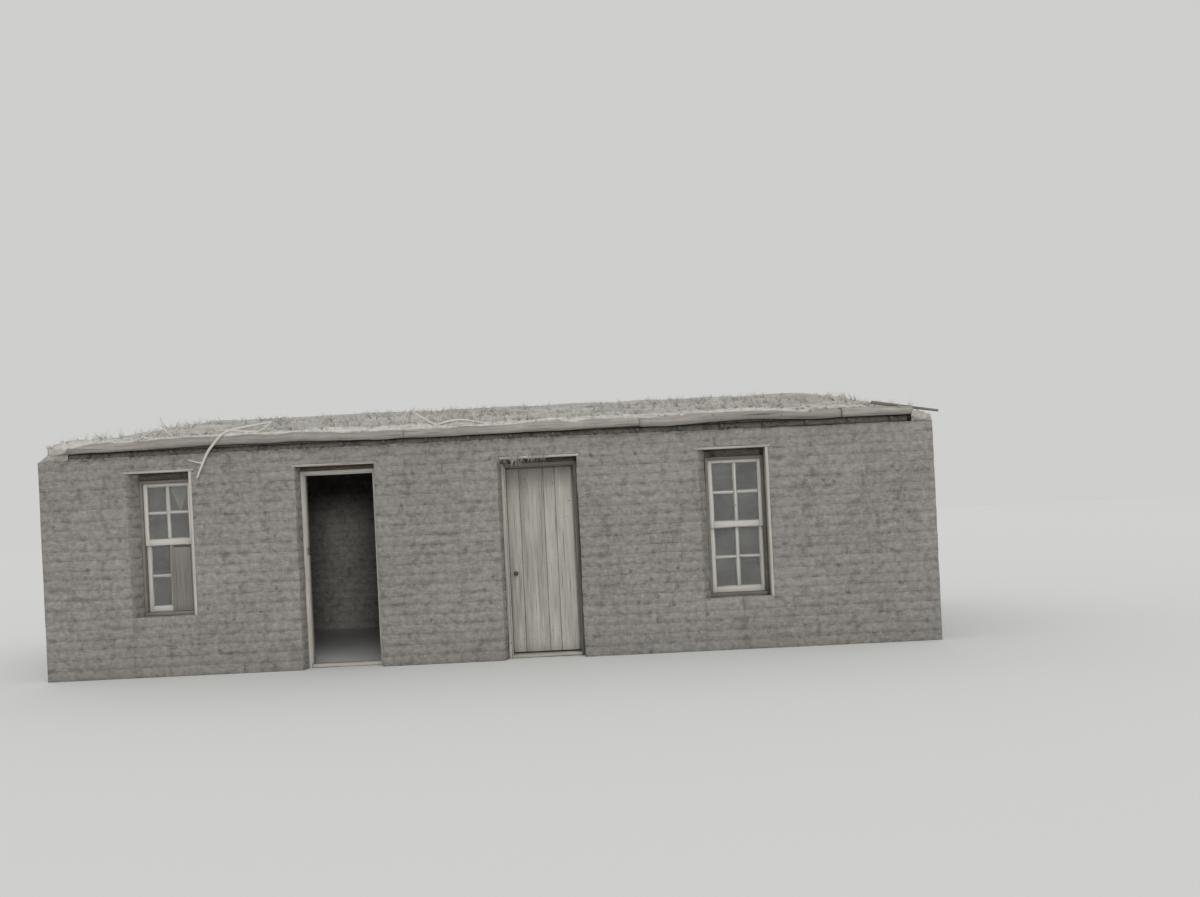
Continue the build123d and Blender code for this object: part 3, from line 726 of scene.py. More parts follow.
brush_material = straw_material("roof_brush", (64, 61, 56), (122, 117, 107), (42, 40, 37), (6.0, 1.0, 6.0))
dress("roof_brush", brush_material)
brush_low, brush_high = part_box("roof_brush")
stem_shapes = [grow_tuft(seed, 4, brush_end_length, 0.02, 0.0024) for seed in range(6)]
brush_random = random.Random(17)
stem_places = []
for number in range(brush_ends_count):
    share = brush_random.random() ** brush_end_bias
    place = pick(
        brush_random, between(brush_low.x + brush_end_inset, brush_high.x - brush_end_inset, share),
        brush_low.y + 0.01, (brush_low.z, brush_low.z + brush_end_rise),
    )
    direction = pick(brush_random, (-0.3, 0.3), -1, (-1.1, -0.1))
    stem_places.append(strewn(brush_random, number, place, direction, (0.5, 1.0)))
brush_ends = bmesh.new()
scatter(brush_ends, stem_shapes, stem_places)
make_piece(brush_ends, "brush_ends", brush_material, "brush")

# Eave stuffing. Hay is pushed in between the poles on top of both walls to keep the wind out, and
# a ridge of broken sod holds it at the front. The gap left under the eave logs is a dark band.
wall_top_z = 2.245
stuffing_spacing = 0.11
stuffing_start_x = -4.26
stuffing_end_x = 4.38
front_stuffing_y = -2.398
front_stuffing_z = 2.281
front_stuffing_sway = 0.01
front_stuffing_radius = (0.031, 0.037)
back_stuffing_y = 2.385
back_stuffing_z = 2.766
back_stuffing_sway = 0.008
back_stuffing_radius = (0.046, 0.054)
back_stuffing_count = 40
wisp_count = 700
wisp_front_y = front_stuffing_y - 0.022
wisp_heights = (2.256, 2.308)
ridge_radius = 0.026
ridge_front_y = -2.434
ridge_sway = 0.004
# Places along the ridge with its height over the wall's top.
ridge_heights = ((-4.25, 0.03), (1.0, 0.03), (2.6, 0.012), (3.6, 0.0))


def about(middle, reach):
    return middle - reach, middle + reach


stuffing_random = random.Random(19)
stuffing = bmesh.new()
front_roll = [
    pick(
        stuffing_random, stuffing_start_x + stuffing_spacing * step,
        about(front_stuffing_y, front_stuffing_sway), front_stuffing_z, front_stuffing_radius,
    )
    for step in range(math.ceil((stuffing_end_x - stuffing_start_x) / stuffing_spacing))
]
grow_round(stuffing, front_roll, 7, sides=12, spacing=0.05, rough=0.006)
back_roll = [
    pick(
        stuffing_random, stuffing_start_x + stuffing_spacing * 2 * step,
        about(back_stuffing_y, back_stuffing_sway), back_stuffing_z, back_stuffing_radius,
    )
    for step in range(back_stuffing_count)
]
grow_round(stuffing, back_roll, 8, sides=12, spacing=0.07, rough=0.006)
strew(
    stuffing, stem_shapes, stuffing_random, wisp_count,
    place=((stuffing_start_x, stuffing_end_x), wisp_front_y, wisp_heights),
    direction=((-1.2, 1.2), -1, (-0.8, 0.3)), size=(0.4, 0.8),
)
make_piece(stuffing, "eave_stuffing", brush_material, "brush")
ridge_points = []
for (start_x, start_height), (end_x, end_height) in zip(ridge_heights, ridge_heights[1:]):
    count = round((end_x - start_x) / stuffing_spacing)
    for index in range(count):
        height = between(start_height, end_height, index / count)
        height += stuffing_random.uniform(-ridge_sway, ridge_sway)
        ridge_points.append((
            between(start_x, end_x, index / count), ridge_front_y + ridge_radius,
            wall_top_z + height - ridge_radius, ridge_radius,
        ))
ridge = bmesh.new()
grow_round(ridge, ridge_points, 15, sides=12, spacing=0.05, rough=0.004)
make_piece(ridge, "wall_top_ridge", sod_material, "sod")

# Eave logs. Four crooked lengths lie end to end on the pole ends and hold the sods in.
# They are peeled cottonwood, cracked and silvered by the weather.
log_rest_z = 2.3097
log_line_y = -2.501
log_skin = 0.003
log_seat = 0.001
knot_spacing = 0.5
knot_end_margin = 0.1
knot_height = 0.056
knot_angle_range = (math.radians(-150), math.radians(30))
knot_reach_range = (0.052, 0.062)
# Shares of a knot's reach, with the radius there.
knot_profile = ((0, 0.016), (0.8, 0.014), (1, 0.011))
# Stations of each log: a place along the house in metres, then its rise and its radius in mm.
eave_logs = {
    "eave_log_west": (
        (-4.235, 0, 46), (-4.03, 0, 48), (-3.7, 2, 50), (-2.9, 20, 54), (-1.9, 14, 54), (-1.02, 0, 52),
        (-0.812, 0, 52),
    ),
    "eave_log_middle": ((-0.808, 0, 48), (-0.47, 0, 50), (0, 0, 52), (0.8, 4, 54), (1.578, 10, 50)),
    "eave_log_east": (
        (1.582, 0, 52), (1.99, 0, 54), (2.3, 16, 54), (2.8, 20, 52), (3.28, 0, 49), (3.628, 0, 46),
    ),
    "eave_log_east_end": ((3.632, 0, 52), (4.0, 0, 48), (4.355, 0, 42)),
}
log_material = wood_material(
    "weathered_log", (98, 94, 88), (184, 179, 170), (64, 61, 56), (116, 111, 103),
    bump=0.6, patch_share=0.4,
)
knot_random = random.Random(9)
log_surfaces = []
for seed, (node, stations) in enumerate(eave_logs.items()):
    log = bmesh.new()
    points = [
        (x, log_line_y, log_rest_z + (rise + radius) * 0.001 + log_seat, radius * 0.001 - log_skin)
        for x, rise, radius in stations
    ]
    grow_round(log, points, seed + 31, sides=18, spacing=0.07, rough=0.008, tone=0.3 + 0.3 * (seed % 2))
    start_x, end_x = stations[0][0], stations[-1][0]
    for knot in range(int((end_x - start_x) / knot_spacing)):
        x, angle, reach = pick(
            knot_random, (start_x + knot_end_margin, end_x - knot_end_margin), knot_angle_range,
            knot_reach_range,
        )
        out = Vector((0.25, math.cos(angle), -math.sin(angle))) * reach
        foot = Vector((x, log_line_y, log_rest_z + knot_height))
        knot_points = [(*(foot + out * share), radius) for share, radius in knot_profile]
        grow_round(log, knot_points, seed + knot * 3 + 60, sides=8, spacing=0.02, tone=0.1, side=(1, 0, 0))
    log_surfaces.append(BVHTree.FromBMesh(log))
    make_piece(log, node + "_round", log_material, "log", node)

# Roof cover. Sods and loose earth lie on the brush and are heaped over the end walls as banks.
# Rain has worn their tops and edges uneven, and earth has crept over the logs in tongues.
roof_nodes = ("roof_sod", "west_roof_bank", "east_roof_bank")
roof_grid = 0.115
roof_face_level = 0.7
roof_tone_pitch = 2.7
roof_wear_least = 0.004
roof_wear, roof_wear_pitch = 0.034, 1.6
roof_crumble, roof_crumble_pitch = 0.012, 9.0
roof_edge_wear, roof_edge_pitch = 0.022, 6.5
roof_side_wear_share = 0.35
roof_rim_reach = 0.002
thin_edge_reach = 0.4
thin_edge_wear = 0.12
bank_seams = [corner.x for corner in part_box("roof_sod")]
slim_pole_from_x = 3.9
slim_pole_back_y = -2.37
spill_start_x = -3.6
spill_line_y = -2.468
spill_line_z = 2.424
spill_radius_range = (0.024, 0.048)
spill_spacing_range = (0.12, 0.34)
spill_shift_range = (-0.016, 0.012)
spill_sink = 0.25
# The slumped west corner, as points with their radius.
corner_spill = (
    (-4.45, -2.4, 2.35, 0.05), (-4.3, -2.48, 2.372, 0.062), (-4.14, -2.498, 2.392, 0.054),
    (-3.98, -2.485, 2.412, 0.042), (-3.8, -2.465, 2.42, 0.03),
)
tongue_count = 26
tongue_ends = (-4.1, 3.6)
tongue_line_y = -2.512
tongue_length_range = (0.12, 0.42)
tongue_radius_range = (0.014, 0.03)
tongue_sway = 0.006
tongue_sink = 0.35
crest_reach = 0.03
# Places along half a tongue's length, with the share of its radius there.
tongue_profile = ((-1, 0.25), (-0.5, 0.85), (0, 1), (0.55, 0.8), (1, 0.25))
straight_down = Vector((0, 0, -1))


def even_noise(place):
    """A noise between 0 and 1."""
    return noise.noise(place) * 0.5 + 0.5


def wear_down(solid, low, high):
    """Lowers the top of a heap of earth unevenly and crumbles its rims inwards."""
    tone_layer = solid.verts.layers.float.new("tone")
    tops = {vert for face in solid.faces if face.normal.z > roof_face_level for vert in face.verts}
    for vert in solid.verts:
        place = vert.co.copy()
        vert[tone_layer] = noise.noise(place * roof_tone_pitch) * 0.9
        if vert in tops:
            held = min(1, thin_edge_wear + abs(place.x - bank_seams[1]) / thin_edge_reach)
            wear = roof_wear_least + roof_wear * even_noise(place * roof_wear_pitch)
            wear += roof_crumble * even_noise(place * roof_crumble_pitch)
            vert.co.z -= wear * held
        for axis in (0, 1):
            rim = even_noise(place * roof_edge_pitch + Vector((axis * 7, 3, 1))) * roof_edge_wear
            rim *= 1 if vert in tops else roof_side_wear_share
            if place[axis] - low[axis] < roof_rim_reach:
                vert.co[axis] += rim
            elif high[axis] - place[axis] < roof_rim_reach:
                vert.co[axis] -= rim


def fall_on(surfaces, x, y):
    """Where a ray dropped at a place of the plan hits the given surfaces."""
    above = Vector((x, y, roof_high.z + 1))
    hits = [surface.ray_cast(above, straight_down)[0] for surface in surfaces]
    return [hit for hit in hits if hit]


roof_cover = bmesh.new()
roof_low = Vector([min(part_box(node)[0][axis] for node in roof_nodes) for axis in range(3)])
roof_high = Vector([max(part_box(node)[1][axis] for node in roof_nodes) for axis in range(3)])
for node in roof_nodes:
    heap = solid_copy(node)
    for axis in (0, 1):
        score(heap, axis, *extent(heap, axis), roof_grid)
    wear_down(heap, roof_low, roof_high)
    for edge in heap.edges:
        if any(all(abs(vert.co.x - seam) < 0.001 for vert in edge.verts) for seam in bank_seams):
            edge.smooth = False
    pour(heap, roof_cover)
roof_material = earth_material(
    "dry_roof_earth", (126, 122, 115), (194, 190, 182), (96, 92, 86), (202, 198, 188),
    bump=0.85, splash=0.0, tone_share=0.5,
)
spill_random = random.Random(23)
spill_points = list(corner_spill)
spill_x = spill_start_x
while spill_x < slim_pole_from_x - 0.1:
    radius, shift = pick(spill_random, spill_radius_range, spill_shift_range)
    spill_points.append((spill_x, spill_line_y + shift, spill_line_z - radius * spill_sink, radius))
    spill_x += spill_random.uniform(*spill_spacing_range)
spill_points.append((slim_pole_from_x, spill_line_y + 0.01, spill_line_z - 0.02, 0.016))
grow_round(roof_cover, spill_points, 3, sides=14, spacing=0.035, rough=0.016)
for tongue in range(tongue_count):
    middle_x, length, radius = pick(spill_random, tongue_ends, tongue_length_range, tongue_radius_range)
    tongue_points = []
    for place_share, radius_share in tongue_profile:
        x = middle_x + length * place_share
        y = tongue_line_y + spill_random.uniform(-tongue_sway, tongue_sway)
        near_x = (x - crest_reach, x, x + crest_reach)
        crests = [hit.z for log_x in near_x for hit in fall_on(log_surfaces, log_x, y)]
        crest = max(crests, default=spill_line_z)
        tongue_points.append((x, y, crest - radius * tongue_sink, radius * radius_share))
    grow_round(roof_cover, tongue_points, tongue + 40, sides=10, spacing=0.035, rough=0.012)
roof_surface = BVHTree.FromBMesh(roof_cover)
make_piece(roof_cover, "roof_cover", roof_material, "roof_earth", *roof_nodes)

# Clods. Crumbs and lumps of dried sod lie loose on the roof, most of them along the eave, where
# they have rolled against the logs and over them.
clod_count = 1250
eave_clod_count = 850
eave_clod_band = (-2.522, -2.3)
clod_radius_range = (0.007, 0.032)
clod_core, clod_lumps, clod_pitch = 0.8, 0.55, 0.9
clod_flatness = 0.62
clod_side_margin = 0.07
clod_front_y = 0.1
clod_back_y = 4.7
roof_limit_margin = 0.004


def on_roof(x, y):
    """The highest place there, or none where the slim pole at the east end would be hidden."""
    if x > slim_pole_from_x and y < slim_pole_back_y:
        return None
    return max(fall_on((roof_surface, *log_surfaces), x, y), key=lambda hit: hit.z, default=None)


def shape_clod(seed):
    """A small mesh of one lump of earth about the origin."""
    clod = bmesh.new()
    bmesh.ops.create_uvsphere(clod, u_segments=7, v_segments=5, radius=1)
    clod.verts.layers.float.new("tone")
    offset = Vector((seed * 3.1, seed * 1.7, seed))
    for vert in clod.verts:
        vert.co *= clod_core + clod_lumps * noise.noise(vert.co * clod_pitch + offset)
        vert.co.z *= clod_flatness
    return as_mesh(clod, "clod")


clod_shapes = [shape_clod(seed) for seed in range(8)]
clod_random = random.Random(29)
clod_places = []
for number in range(clod_count):
    radius = between(*clod_radius_range, clod_random.random() ** 2)
    x, y = pick(
        clod_random, (roof_low.x + clod_side_margin, roof_high.x - clod_side_margin),
        eave_clod_band if number < eave_clod_count else (roof_low.y + clod_front_y, roof_low.y + clod_back_y),
    )
    place = on_roof(x, y)
    if place is None or place.z + radius > roof_high.z - roof_limit_margin:
        continue
    turn = Matrix.Rotation(clod_random.uniform(0, math.tau), 4, "Z")
    matrix = Matrix.Translation(place) @ turn @ Matrix.Scale(radius, 4)
    clod_places.append((number, matrix, clod_random.random()))
clods = bmesh.new()
scatter(clods, clod_shapes, clod_places)
make_piece(clods, "roof_clods", roof_material, "roof_earth")

# Dry grass. The roof's sods still carry tufts of dead prairie grass. It stands thin on top and
# hangs over the eave logs in places.
grass_count = 2300
eave_grass_count = 620
eave_grass_band = (-2.51, -2.3)
grass_side_margin = 0.06
grass_front_y = 0.1
grass_back_y = 4.86
grass_gap_pitch = 0.9
grass_gap_range = (-0.5, 0.25)
grass_height = 0.115
grass_size_range = (0.25, 0.85)
smallest_grass = 0.15
upper_grass_growth = 1.5
roof_front_limit = -2.584
root_depth = Vector((0, 0, 0.004))
grass_material, grass_tree = new_material("dry_grass")
grass_noise = noise_at(grass_tree, attribute(grass_tree, "grain", "Vector"), 30.0, detail=3.0)
grass_tone = maths(grass_tree, "MULTIPLY", attribute(grass_tree, "tone"), 0.6)
grass_amount = weighted(grass_tree, grass_tone, (grass_noise, 0.5))
end_material(grass_tree, {
    "Base Color": layered(grass_tree, (104, 101, 93), (grass_amount, (212, 208, 198))), "Roughness": 0.8,
    "Normal": bumped(grass_tree, grass_noise, 0.3, 0.002),
})
tuft_shapes = [grow_tuft(seed + 40, 6, grass_height, 0.06, 0.0021) for seed in range(7)]
grass_random = random.Random(41)
grass_places = []
for number in range(grass_count):
    near_eave = number < eave_grass_count
    x, y = pick(
        grass_random, (roof_low.x + grass_side_margin, roof_high.x - grass_side_margin),
        eave_grass_band if near_eave else (roof_low.y + grass_front_y, roof_low.y + grass_back_y),
    )
    growth_here = noise.noise(Vector((x * grass_gap_pitch, y * grass_gap_pitch, 2)))
    if growth_here < grass_random.uniform(*grass_gap_range):
        continue
    place = on_roof(x, y)
    if place is None:
        continue
    room = min(
        roof_high.z - roof_limit_margin - place.z, place.y - roof_front_limit,
        house_half_length - roof_limit_margin - abs(place.x),
    )
    growth = 1 if near_eave else upper_grass_growth
    size = min(grass_random.uniform(*grass_size_range) * growth, room / grass_height)
    if size < smallest_grass:
        continue
    forward = grass_random.uniform(*((-1.1, 0.1) if near_eave else (-0.35, 0.35)))
    direction = (grass_random.uniform(-1.3, 1.3), forward, 0.7)
    grass_places.append(strewn(grass_random, number, place - root_depth, direction, size))
roof_grass = bmesh.new()
scatter(roof_grass, tuft_shapes, grass_places)
make_piece(roof_grass, "roof_grass", grass_material, "roof_earth")

# Dead limbs. Bare branches thrown on the roof edge to hold the sods: a forked one that hangs
# over the eave, a bent one, two twigs and a slim pole down the east slope.
limb_radius_share = 0.9
# Each limb has its place, then its branches as points with a radius, in mm from that place.
limbs = {
    "hanging_limb": ((-2.672, -2.5703, 2.3841), (
        ((-239, 0, -377, 9), (-184, 0, -253, 13), (-119, 0, -119, 15), (-50, 0, -35, 16), (0, 0, 21, 16),
         (27, 18, 51, 16), (60, 40, 77, 15), (125, 55, 98, 15), (283, 75, 129, 12), (520, 110, 163, 9)),
        ((110, 54, 92, 13), (242, 66, 78, 11), (358, 85, 66, 10), (438, 98, 100, 9), (516, 110, 160, 8)),
        ((-318, 0, -188, 5), (-248, 0, -213, 7), (-173, 0, -228, 9)),
        ((-12, 48, 92, 5), (52, 50, 97, 7), (112, 53, 93, 9)),
    )),
    "bent_limb": ((-0.475, -2.501, 2.4215), (
        ((-240, 0, 160, 8), (-120, 0, 80, 11), (0, 0, 2, 12)),
        ((-10, 0, 7, 12), (100, 0, 38, 12), (205, 0, 54, 11), (350, 0, 38, 9), (480, 0, 0, 7)),
    )),
    "dry_twigs": ((-3.195, -2.41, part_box("dry_twigs")[0].z), (
        ((0, 0, 0, 10), (0, 0, 20, 10), (-64, 0, 71, 9), (-95, 0, 155, 7), (-115, 0, 219, 4)),
        ((-64, 0, 64, 8), (-31, 0, 100, 6), (-2, 0, 140, 3)),
        ((-49, 0, 51, 8), (4, 0, 64, 6), (64, 0, 91, 3)),
        ((-291, 0, 0, 10), (-291, 0, 20, 10), (-255, 0, 51, 9), (-191, 0, 75, 7), (-122, 0, 104, 4)),
        ((-286, 0, 27, 8), (-297, 0, 64, 6), (-302, 0, 111, 3)),
    )),
}
dead_wood_material = wood_material(
    "bleached_dead_wood", (162, 158, 149), (212, 208, 199), (114, 109, 101), (190, 185, 175), patch_share=0.3,
)
for node, (limb_place, branches) in limbs.items():
    limb = bmesh.new()
    for seed, branch in enumerate(branches):
        points = [
            (*(Vector(limb_place) + Vector(offset) * 0.001), radius * 0.001 * limb_radius_share)
            for *offset, radius in branch
        ]
        grow_round(limb, points, seed + 81, spacing=0.025, rough=0.0012)
    make_piece(limb, node + "_branches", dead_wood_material, "dead_wood", node)
edge_low, edge_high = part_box("edge_pole")
slim_butt = Vector((edge_low.x + 0.003, -2.4, edge_high.z - 0.019))
slim_tip = Vector((edge_high.x - 0.003, -2.4, edge_low.z + 0.013))
slim_radii = (0.018, 0.0125)
slim_pole = bmesh.new()
slim_points = [(*slim_butt.lerp(slim_tip, share), between(*slim_radii, share)) for share in (0, 0.35, 0.7, 1)]
grow_round(slim_pole, slim_points, 95, spacing=0.04, rough=0.0012, tone=0.4)
make_piece(slim_pole, "edge_pole_round", plate_material, "dead_wood", "edge_pole")

# Head planks. Three sawn boards side by side lie across each opening and carry the sods over it.
# Only their front edge shows from outside, as a pale line over a dark gap.
plank_low, plank_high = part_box("head_planks")
plank_boards = 3
plank_width = (plank_high.y - plank_low.y) / plank_boards
plank_thickness = 0.024
plank_gap = 0.002
plank_tone = 1.1
plank_setback = 0.004
board_wear_pitch = 7
board_strip_length = 0.12
# The ends and the underside of the planks over each opening.
plank_spans = ((-3.72, -2.98, 2.086), (-1.995, -1.115, 2.076), (0.073, 0.953, 2.054), (2.12, 2.91, 2.054))
board_random = random.Random(53)


def add_board(target, low, high, along, rng=board_random, edge=0.0018, wear=0.0012, tone=None):
    """Adds one sawn board between two corners, its edges eased and its faces slightly worn."""
    low, high = Vector(low), Vector(high)
    middle = (low + high) / 2
    board = bmesh.new()
    bmesh.ops.create_cube(board, size=1, matrix=Matrix.LocRotScale(middle, None, high - low))
    score(board, along, low[along], high[along], board_strip_length)
    soften(board, edge)
    grain_layer = board.verts.layers.float_vector.new("grain")
    tone_layer = board.verts.layers.float.new("tone")
    offset = Vector(pick(rng, (0, 40), (0, 40), (0, 40)))
    tone = rng.random() if tone is None else tone
    sides = [axis for axis in range(3) if axis != along]
    for vert in board.verts:
        place = vert.co.copy()
        vert[grain_layer] = Vector((place[along], place[sides[0]], place[sides[1]])) + offset
        vert[tone_layer] = tone
        for axis in range(3):
            worn = even_noise(place * board_wear_pitch + offset + Vector((axis, 0, 0))) * wear
            vert.co[axis] -= math.copysign(worn, place[axis] - middle[axis])
    pour(board, target)


board_material = wood_material(
    "weathered_board", (92, 88, 82), (178, 173, 163), (64, 60, 55), (128, 123, 115), patch_share=0.35,
)
planks = bmesh.new()
for low_x, high_x, low_z in plank_spans:
    for index in range(plank_boards):
        low_y = plank_low.y + plank_width * index + plank_gap / 2
        setback = board_random.uniform(0, plank_setback)
        add_board(
            planks, (low_x + setback, low_y, low_z),
            (high_x - setback, low_y + plank_width - plank_gap, low_z + plank_thickness), 0, tone=plank_tone,
        )
make_piece(planks, "head_planks_boards", board_material, "board", "head_planks")

# Head packing. Hay and crumbled sod are stuffed between each frame and the planks above it.
# The planks shade it, and its colours are darkened further as painted shade, so it shows as a dark band with
# loose ends of straw.
packing_front_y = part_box("head_packing")[0].y
# The ends, the underside and the top of the packing over each frame.
packed_spans = (
    (-3.6, -3.04, 2.01, 2.086), (-1.935, -1.145, 2.03, 2.076),
    (0.133, 0.923, 2.01, 2.054), (2.24, 2.85, 1.975, 2.054),
)
packing_wisps_per_metre = 60
packing_end_margin = 0.02
packing_margin = 0.006
# Painted shade: the hay's colours are dark to stand for the shade under the planks.
shade_dark_packing_material = straw_material("packed_hay", (54, 50, 45), (112, 105, 93), (34, 31, 28), (1.0, 5.0, 5.0))
dress("head_packing", shade_dark_packing_material)
packing_shapes = [grow_tuft(seed + 70, 4, 0.05, 0.05, 0.0012) for seed in range(5)]
packing_random = random.Random(59)
packing_straw = bmesh.new()
for low_x, high_x, low_z, high_z in packed_spans:
    strew(
        packing_straw, packing_shapes, packing_random, round((high_x - low_x) * packing_wisps_per_metre),
        place=(
            (low_x + packing_end_margin, high_x - packing_end_margin), packing_front_y + packing_margin,
            (low_z + packing_margin, high_z - packing_margin),
        ),
        direction=((-0.9, 0.9), -1, (-0.7, 0.2)), size=(0.4, 0.9),
    )
make_piece(packing_straw, "packing_straw", shade_dark_packing_material, "brush")

# Door frames. Each is nailed up from planks 33 mm thick and 150 mm deep with a 12 mm stop strip
# all round and a worn threshold, bare wood gone grey. The west frame has lost its door.
jamb_thickness = 0.033
frame_foot_z = 0.001
stop_thickness = 0.012
stop_setback = 0.002
stop_depth = 0.117
threshold_height = 0.04
threshold_finish = {"edge": 0.006, "wear": 0.004}
frame_board_material = wood_material(
    "frame_board", (136, 131, 123), (192, 187, 178), (80, 76, 70), (158, 152, 143),
)
# The left stop strip of the west frame is in two lengths, below and above the keeper plate.
# The east frame takes the darker board wood, and its tones are painted light and shade: a lighter left jamb
# as if lit, a dark head and right jamb as if in shade.
for node, material, stop_lengths, left_tone_and_painted_light, head_tone_and_painted_shade, right_tone_and_painted_shade in (
    ("west_door_frame", frame_board_material, ((threshold_height, 1.165), (1.235, 2.1)), 0.5, 0.5, 0.6),
    ("east_door_frame", board_material, ((threshold_height, 2.1),), 1.0, -1.6, -0.7),
):
    low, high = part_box(node)
    left_x = low.x + jamb_thickness
    right_x = high.x - jamb_thickness
    head_z = high.z - jamb_thickness
    front_y = low.y + stop_setback
    back_y = low.y + stop_depth
    left, head, right = ({"tone": tone} for tone in (left_tone_and_painted_light, head_tone_and_painted_shade, right_tone_and_painted_shade))
    door_frame = bmesh.new()
    for board_low, board_high, along, finish in (
        ((low.x, low.y, frame_foot_z), (left_x, high.y, high.z), 2, left),
        ((right_x, low.y, frame_foot_z), (high.x, high.y, high.z), 2, right),
        ((left_x, low.y, head_z), (right_x, high.y, high.z), 0, head),
        ((left_x, low.y, frame_foot_z), (right_x, high.y, threshold_height), 0, threshold_finish),
        *(
            ((left_x, front_y, low_z), (left_x + stop_thickness, back_y, min(high_z, head_z)), 2, left)
            for low_z, high_z in stop_lengths
        ),
        ((right_x - stop_thickness, front_y, threshold_height), (right_x, back_y, head_z), 2, right),
        ((left_x + stop_thickness, front_y, head_z - stop_thickness),
         (right_x - stop_thickness, back_y, head_z), 0, head),
    ):
        add_board(door_frame, board_low, board_high, along, **finish)
    make_piece(door_frame, node + "_boards", material, "board", node)

# Window frames and linings. Plain box frames of 30 mm boards with a thicker sill. A single board
# lines the right-hand reveal beside each window and hides the rough sods.
window_board = 0.03
sill_thickness = 0.04
lining_corners = (
    ((-3.04, -2.44, 0.615), (-3.01, -2.14, 2.086)), ((2.85, -2.44, 0.535), (2.88, -2.14, 2.054)),
)
for node in ("west_window_frame", "east_window_frame"):
    low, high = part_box(node)
    left_x = low.x + window_board
    right_x = high.x - window_board
    sill_z = low.z + sill_thickness
    window_frame = bmesh.new()
    for board_low, board_high, along in (
        ((low.x, low.y, sill_z), (left_x, high.y, high.z), 2),
        ((right_x, low.y, sill_z), high, 2),
        ((left_x, low.y, high.z - window_board), (right_x, high.y, high.z), 0),
        (low, (high.x, high.y, sill_z), 0),
    ):
        add_board(window_frame, board_low, board_high, along)
    # Painted shade: the frames take the dark plank wood so that they read like the shade deep in the reveals.
    make_piece(window_frame, node + "_boards", plate_material, "pale_board", node)
linings = bmesh.new()
for lining_low, lining_high in lining_corners:
    add_board(linings, lining_low, lining_high, 2)
make_piece(linings, "window_lining_boards", frame_board_material, "board", "window_linings")

# Sashes. Each window has two old painted sashes with four panes: 41 mm stiles, thin top rails,
# heavy meeting rails, and narrow bars. Putty holds the glass in, and it has shrunk and cracked.
stile_width = 0.041
bar_width = 0.03
cross_bar_width = 0.022
bar_depth = 0.026
putty_width = 0.007
putty_depths = (-0.009, -0.001)
bar_finish = {"edge": 0.005, "wear": 0.0005}
putty_finish = {"edge": 0.003, "wear": 0.001}
# The heights of each sash's bottom and top rails.
sash_rails = {
    "west_upper_sash": (0.066, 0.032), "west_lower_sash": (0.060, 0.066),
    "east_upper_sash": (0.066, 0.032), "east_lower_sash": (0.060, 0.066),
}
paint_material = wood_material(
    "worn_pale_paint", (158, 155, 148), (196, 193, 186), (112, 108, 101), (176, 172, 164),
    bump=0.22, patch_share=0.55,
)
for node, (bottom_rail, top_rail) in sash_rails.items():
    low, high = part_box(node)
    middle = (low + high) / 2
    glass_low_x, glass_high_x = low.x + stile_width, high.x - stile_width
    glass_low_z, glass_high_z = low.z + bottom_rail, high.z - top_rail
    bar_low_y, bar_high_y = about(middle.y, bar_depth / 2)
    bar_low_x, bar_high_x = about(middle.x, bar_width / 2)
    cross_low_z, cross_high_z = about((glass_low_z + glass_high_z) / 2, cross_bar_width / 2)
    putty_low_y, putty_high_y = (middle.y + depth for depth in putty_depths)
    sash = bmesh.new()
    for board_low, board_high, along in (
        (low, (glass_low_x, high.y, high.z), 2),
        ((glass_high_x, low.y, low.z), high, 2),
        ((glass_low_x, low.y, low.z), (glass_high_x, high.y, glass_low_z), 0),
        ((glass_low_x, low.y, glass_high_z), (glass_high_x, high.y, high.z), 0),
    ):
        add_board(sash, board_low, board_high, along, wear=0.0007)
    add_board(
        sash, (bar_low_x, bar_low_y, glass_low_z), (bar_high_x, bar_high_y, glass_high_z), 2, **bar_finish,
    )
    for left_x, right_x in ((glass_low_x, bar_low_x), (bar_high_x, glass_high_x)):
        add_board(
            sash, (left_x, bar_low_y, cross_low_z), (right_x, bar_high_y, cross_high_z), 0, **bar_finish,
        )
        for low_z, high_z in ((glass_low_z, cross_low_z), (cross_high_z, glass_high_z)):
            for z in (low_z, high_z - putty_width):
                add_board(
                    sash, (left_x, putty_low_y, z), (right_x, putty_high_y, z + putty_width), 0,
                    **putty_finish,
                )
            for x in (left_x, right_x - putty_width):
                add_board(
                    sash, (x, putty_low_y, low_z + putty_width),
                    (x + putty_width, putty_high_y, high_z - putty_width), 2, **putty_finish,
                )
    make_piece(sash, node + "_wood", paint_material, "pale_board", node)

# Window glass. Small panes of old cylinder glass, slightly wavy, dusty in the corners.
# Putty holds each pane in its sash.
glass_material, glass_tree = new_material("old_window_glass")
glass_place = object_place(glass_tree)
glass_dust = mottled(glass_tree, glass_place, 4.0, 90.0, 30.0, 0.1)["Patches"]
glass_waves = noise_at(glass_tree, stretched(glass_tree, glass_place, (1.0, 1.0, 0.45)), 9.0, detail=1.0)
end_material(glass_tree, {
    "Base Color": layered(glass_tree, (176, 178, 175), (glass_dust, (208, 208, 202))),
    "Roughness": weighted(glass_tree, 0.02, (glass_dust, 0.05)),
    "Normal": bumped(glass_tree, glass_waves, 0.25, 0.01), "IOR": 1.5, "Transmission Weight": 0.85,
})
dress("window_glass", glass_material)

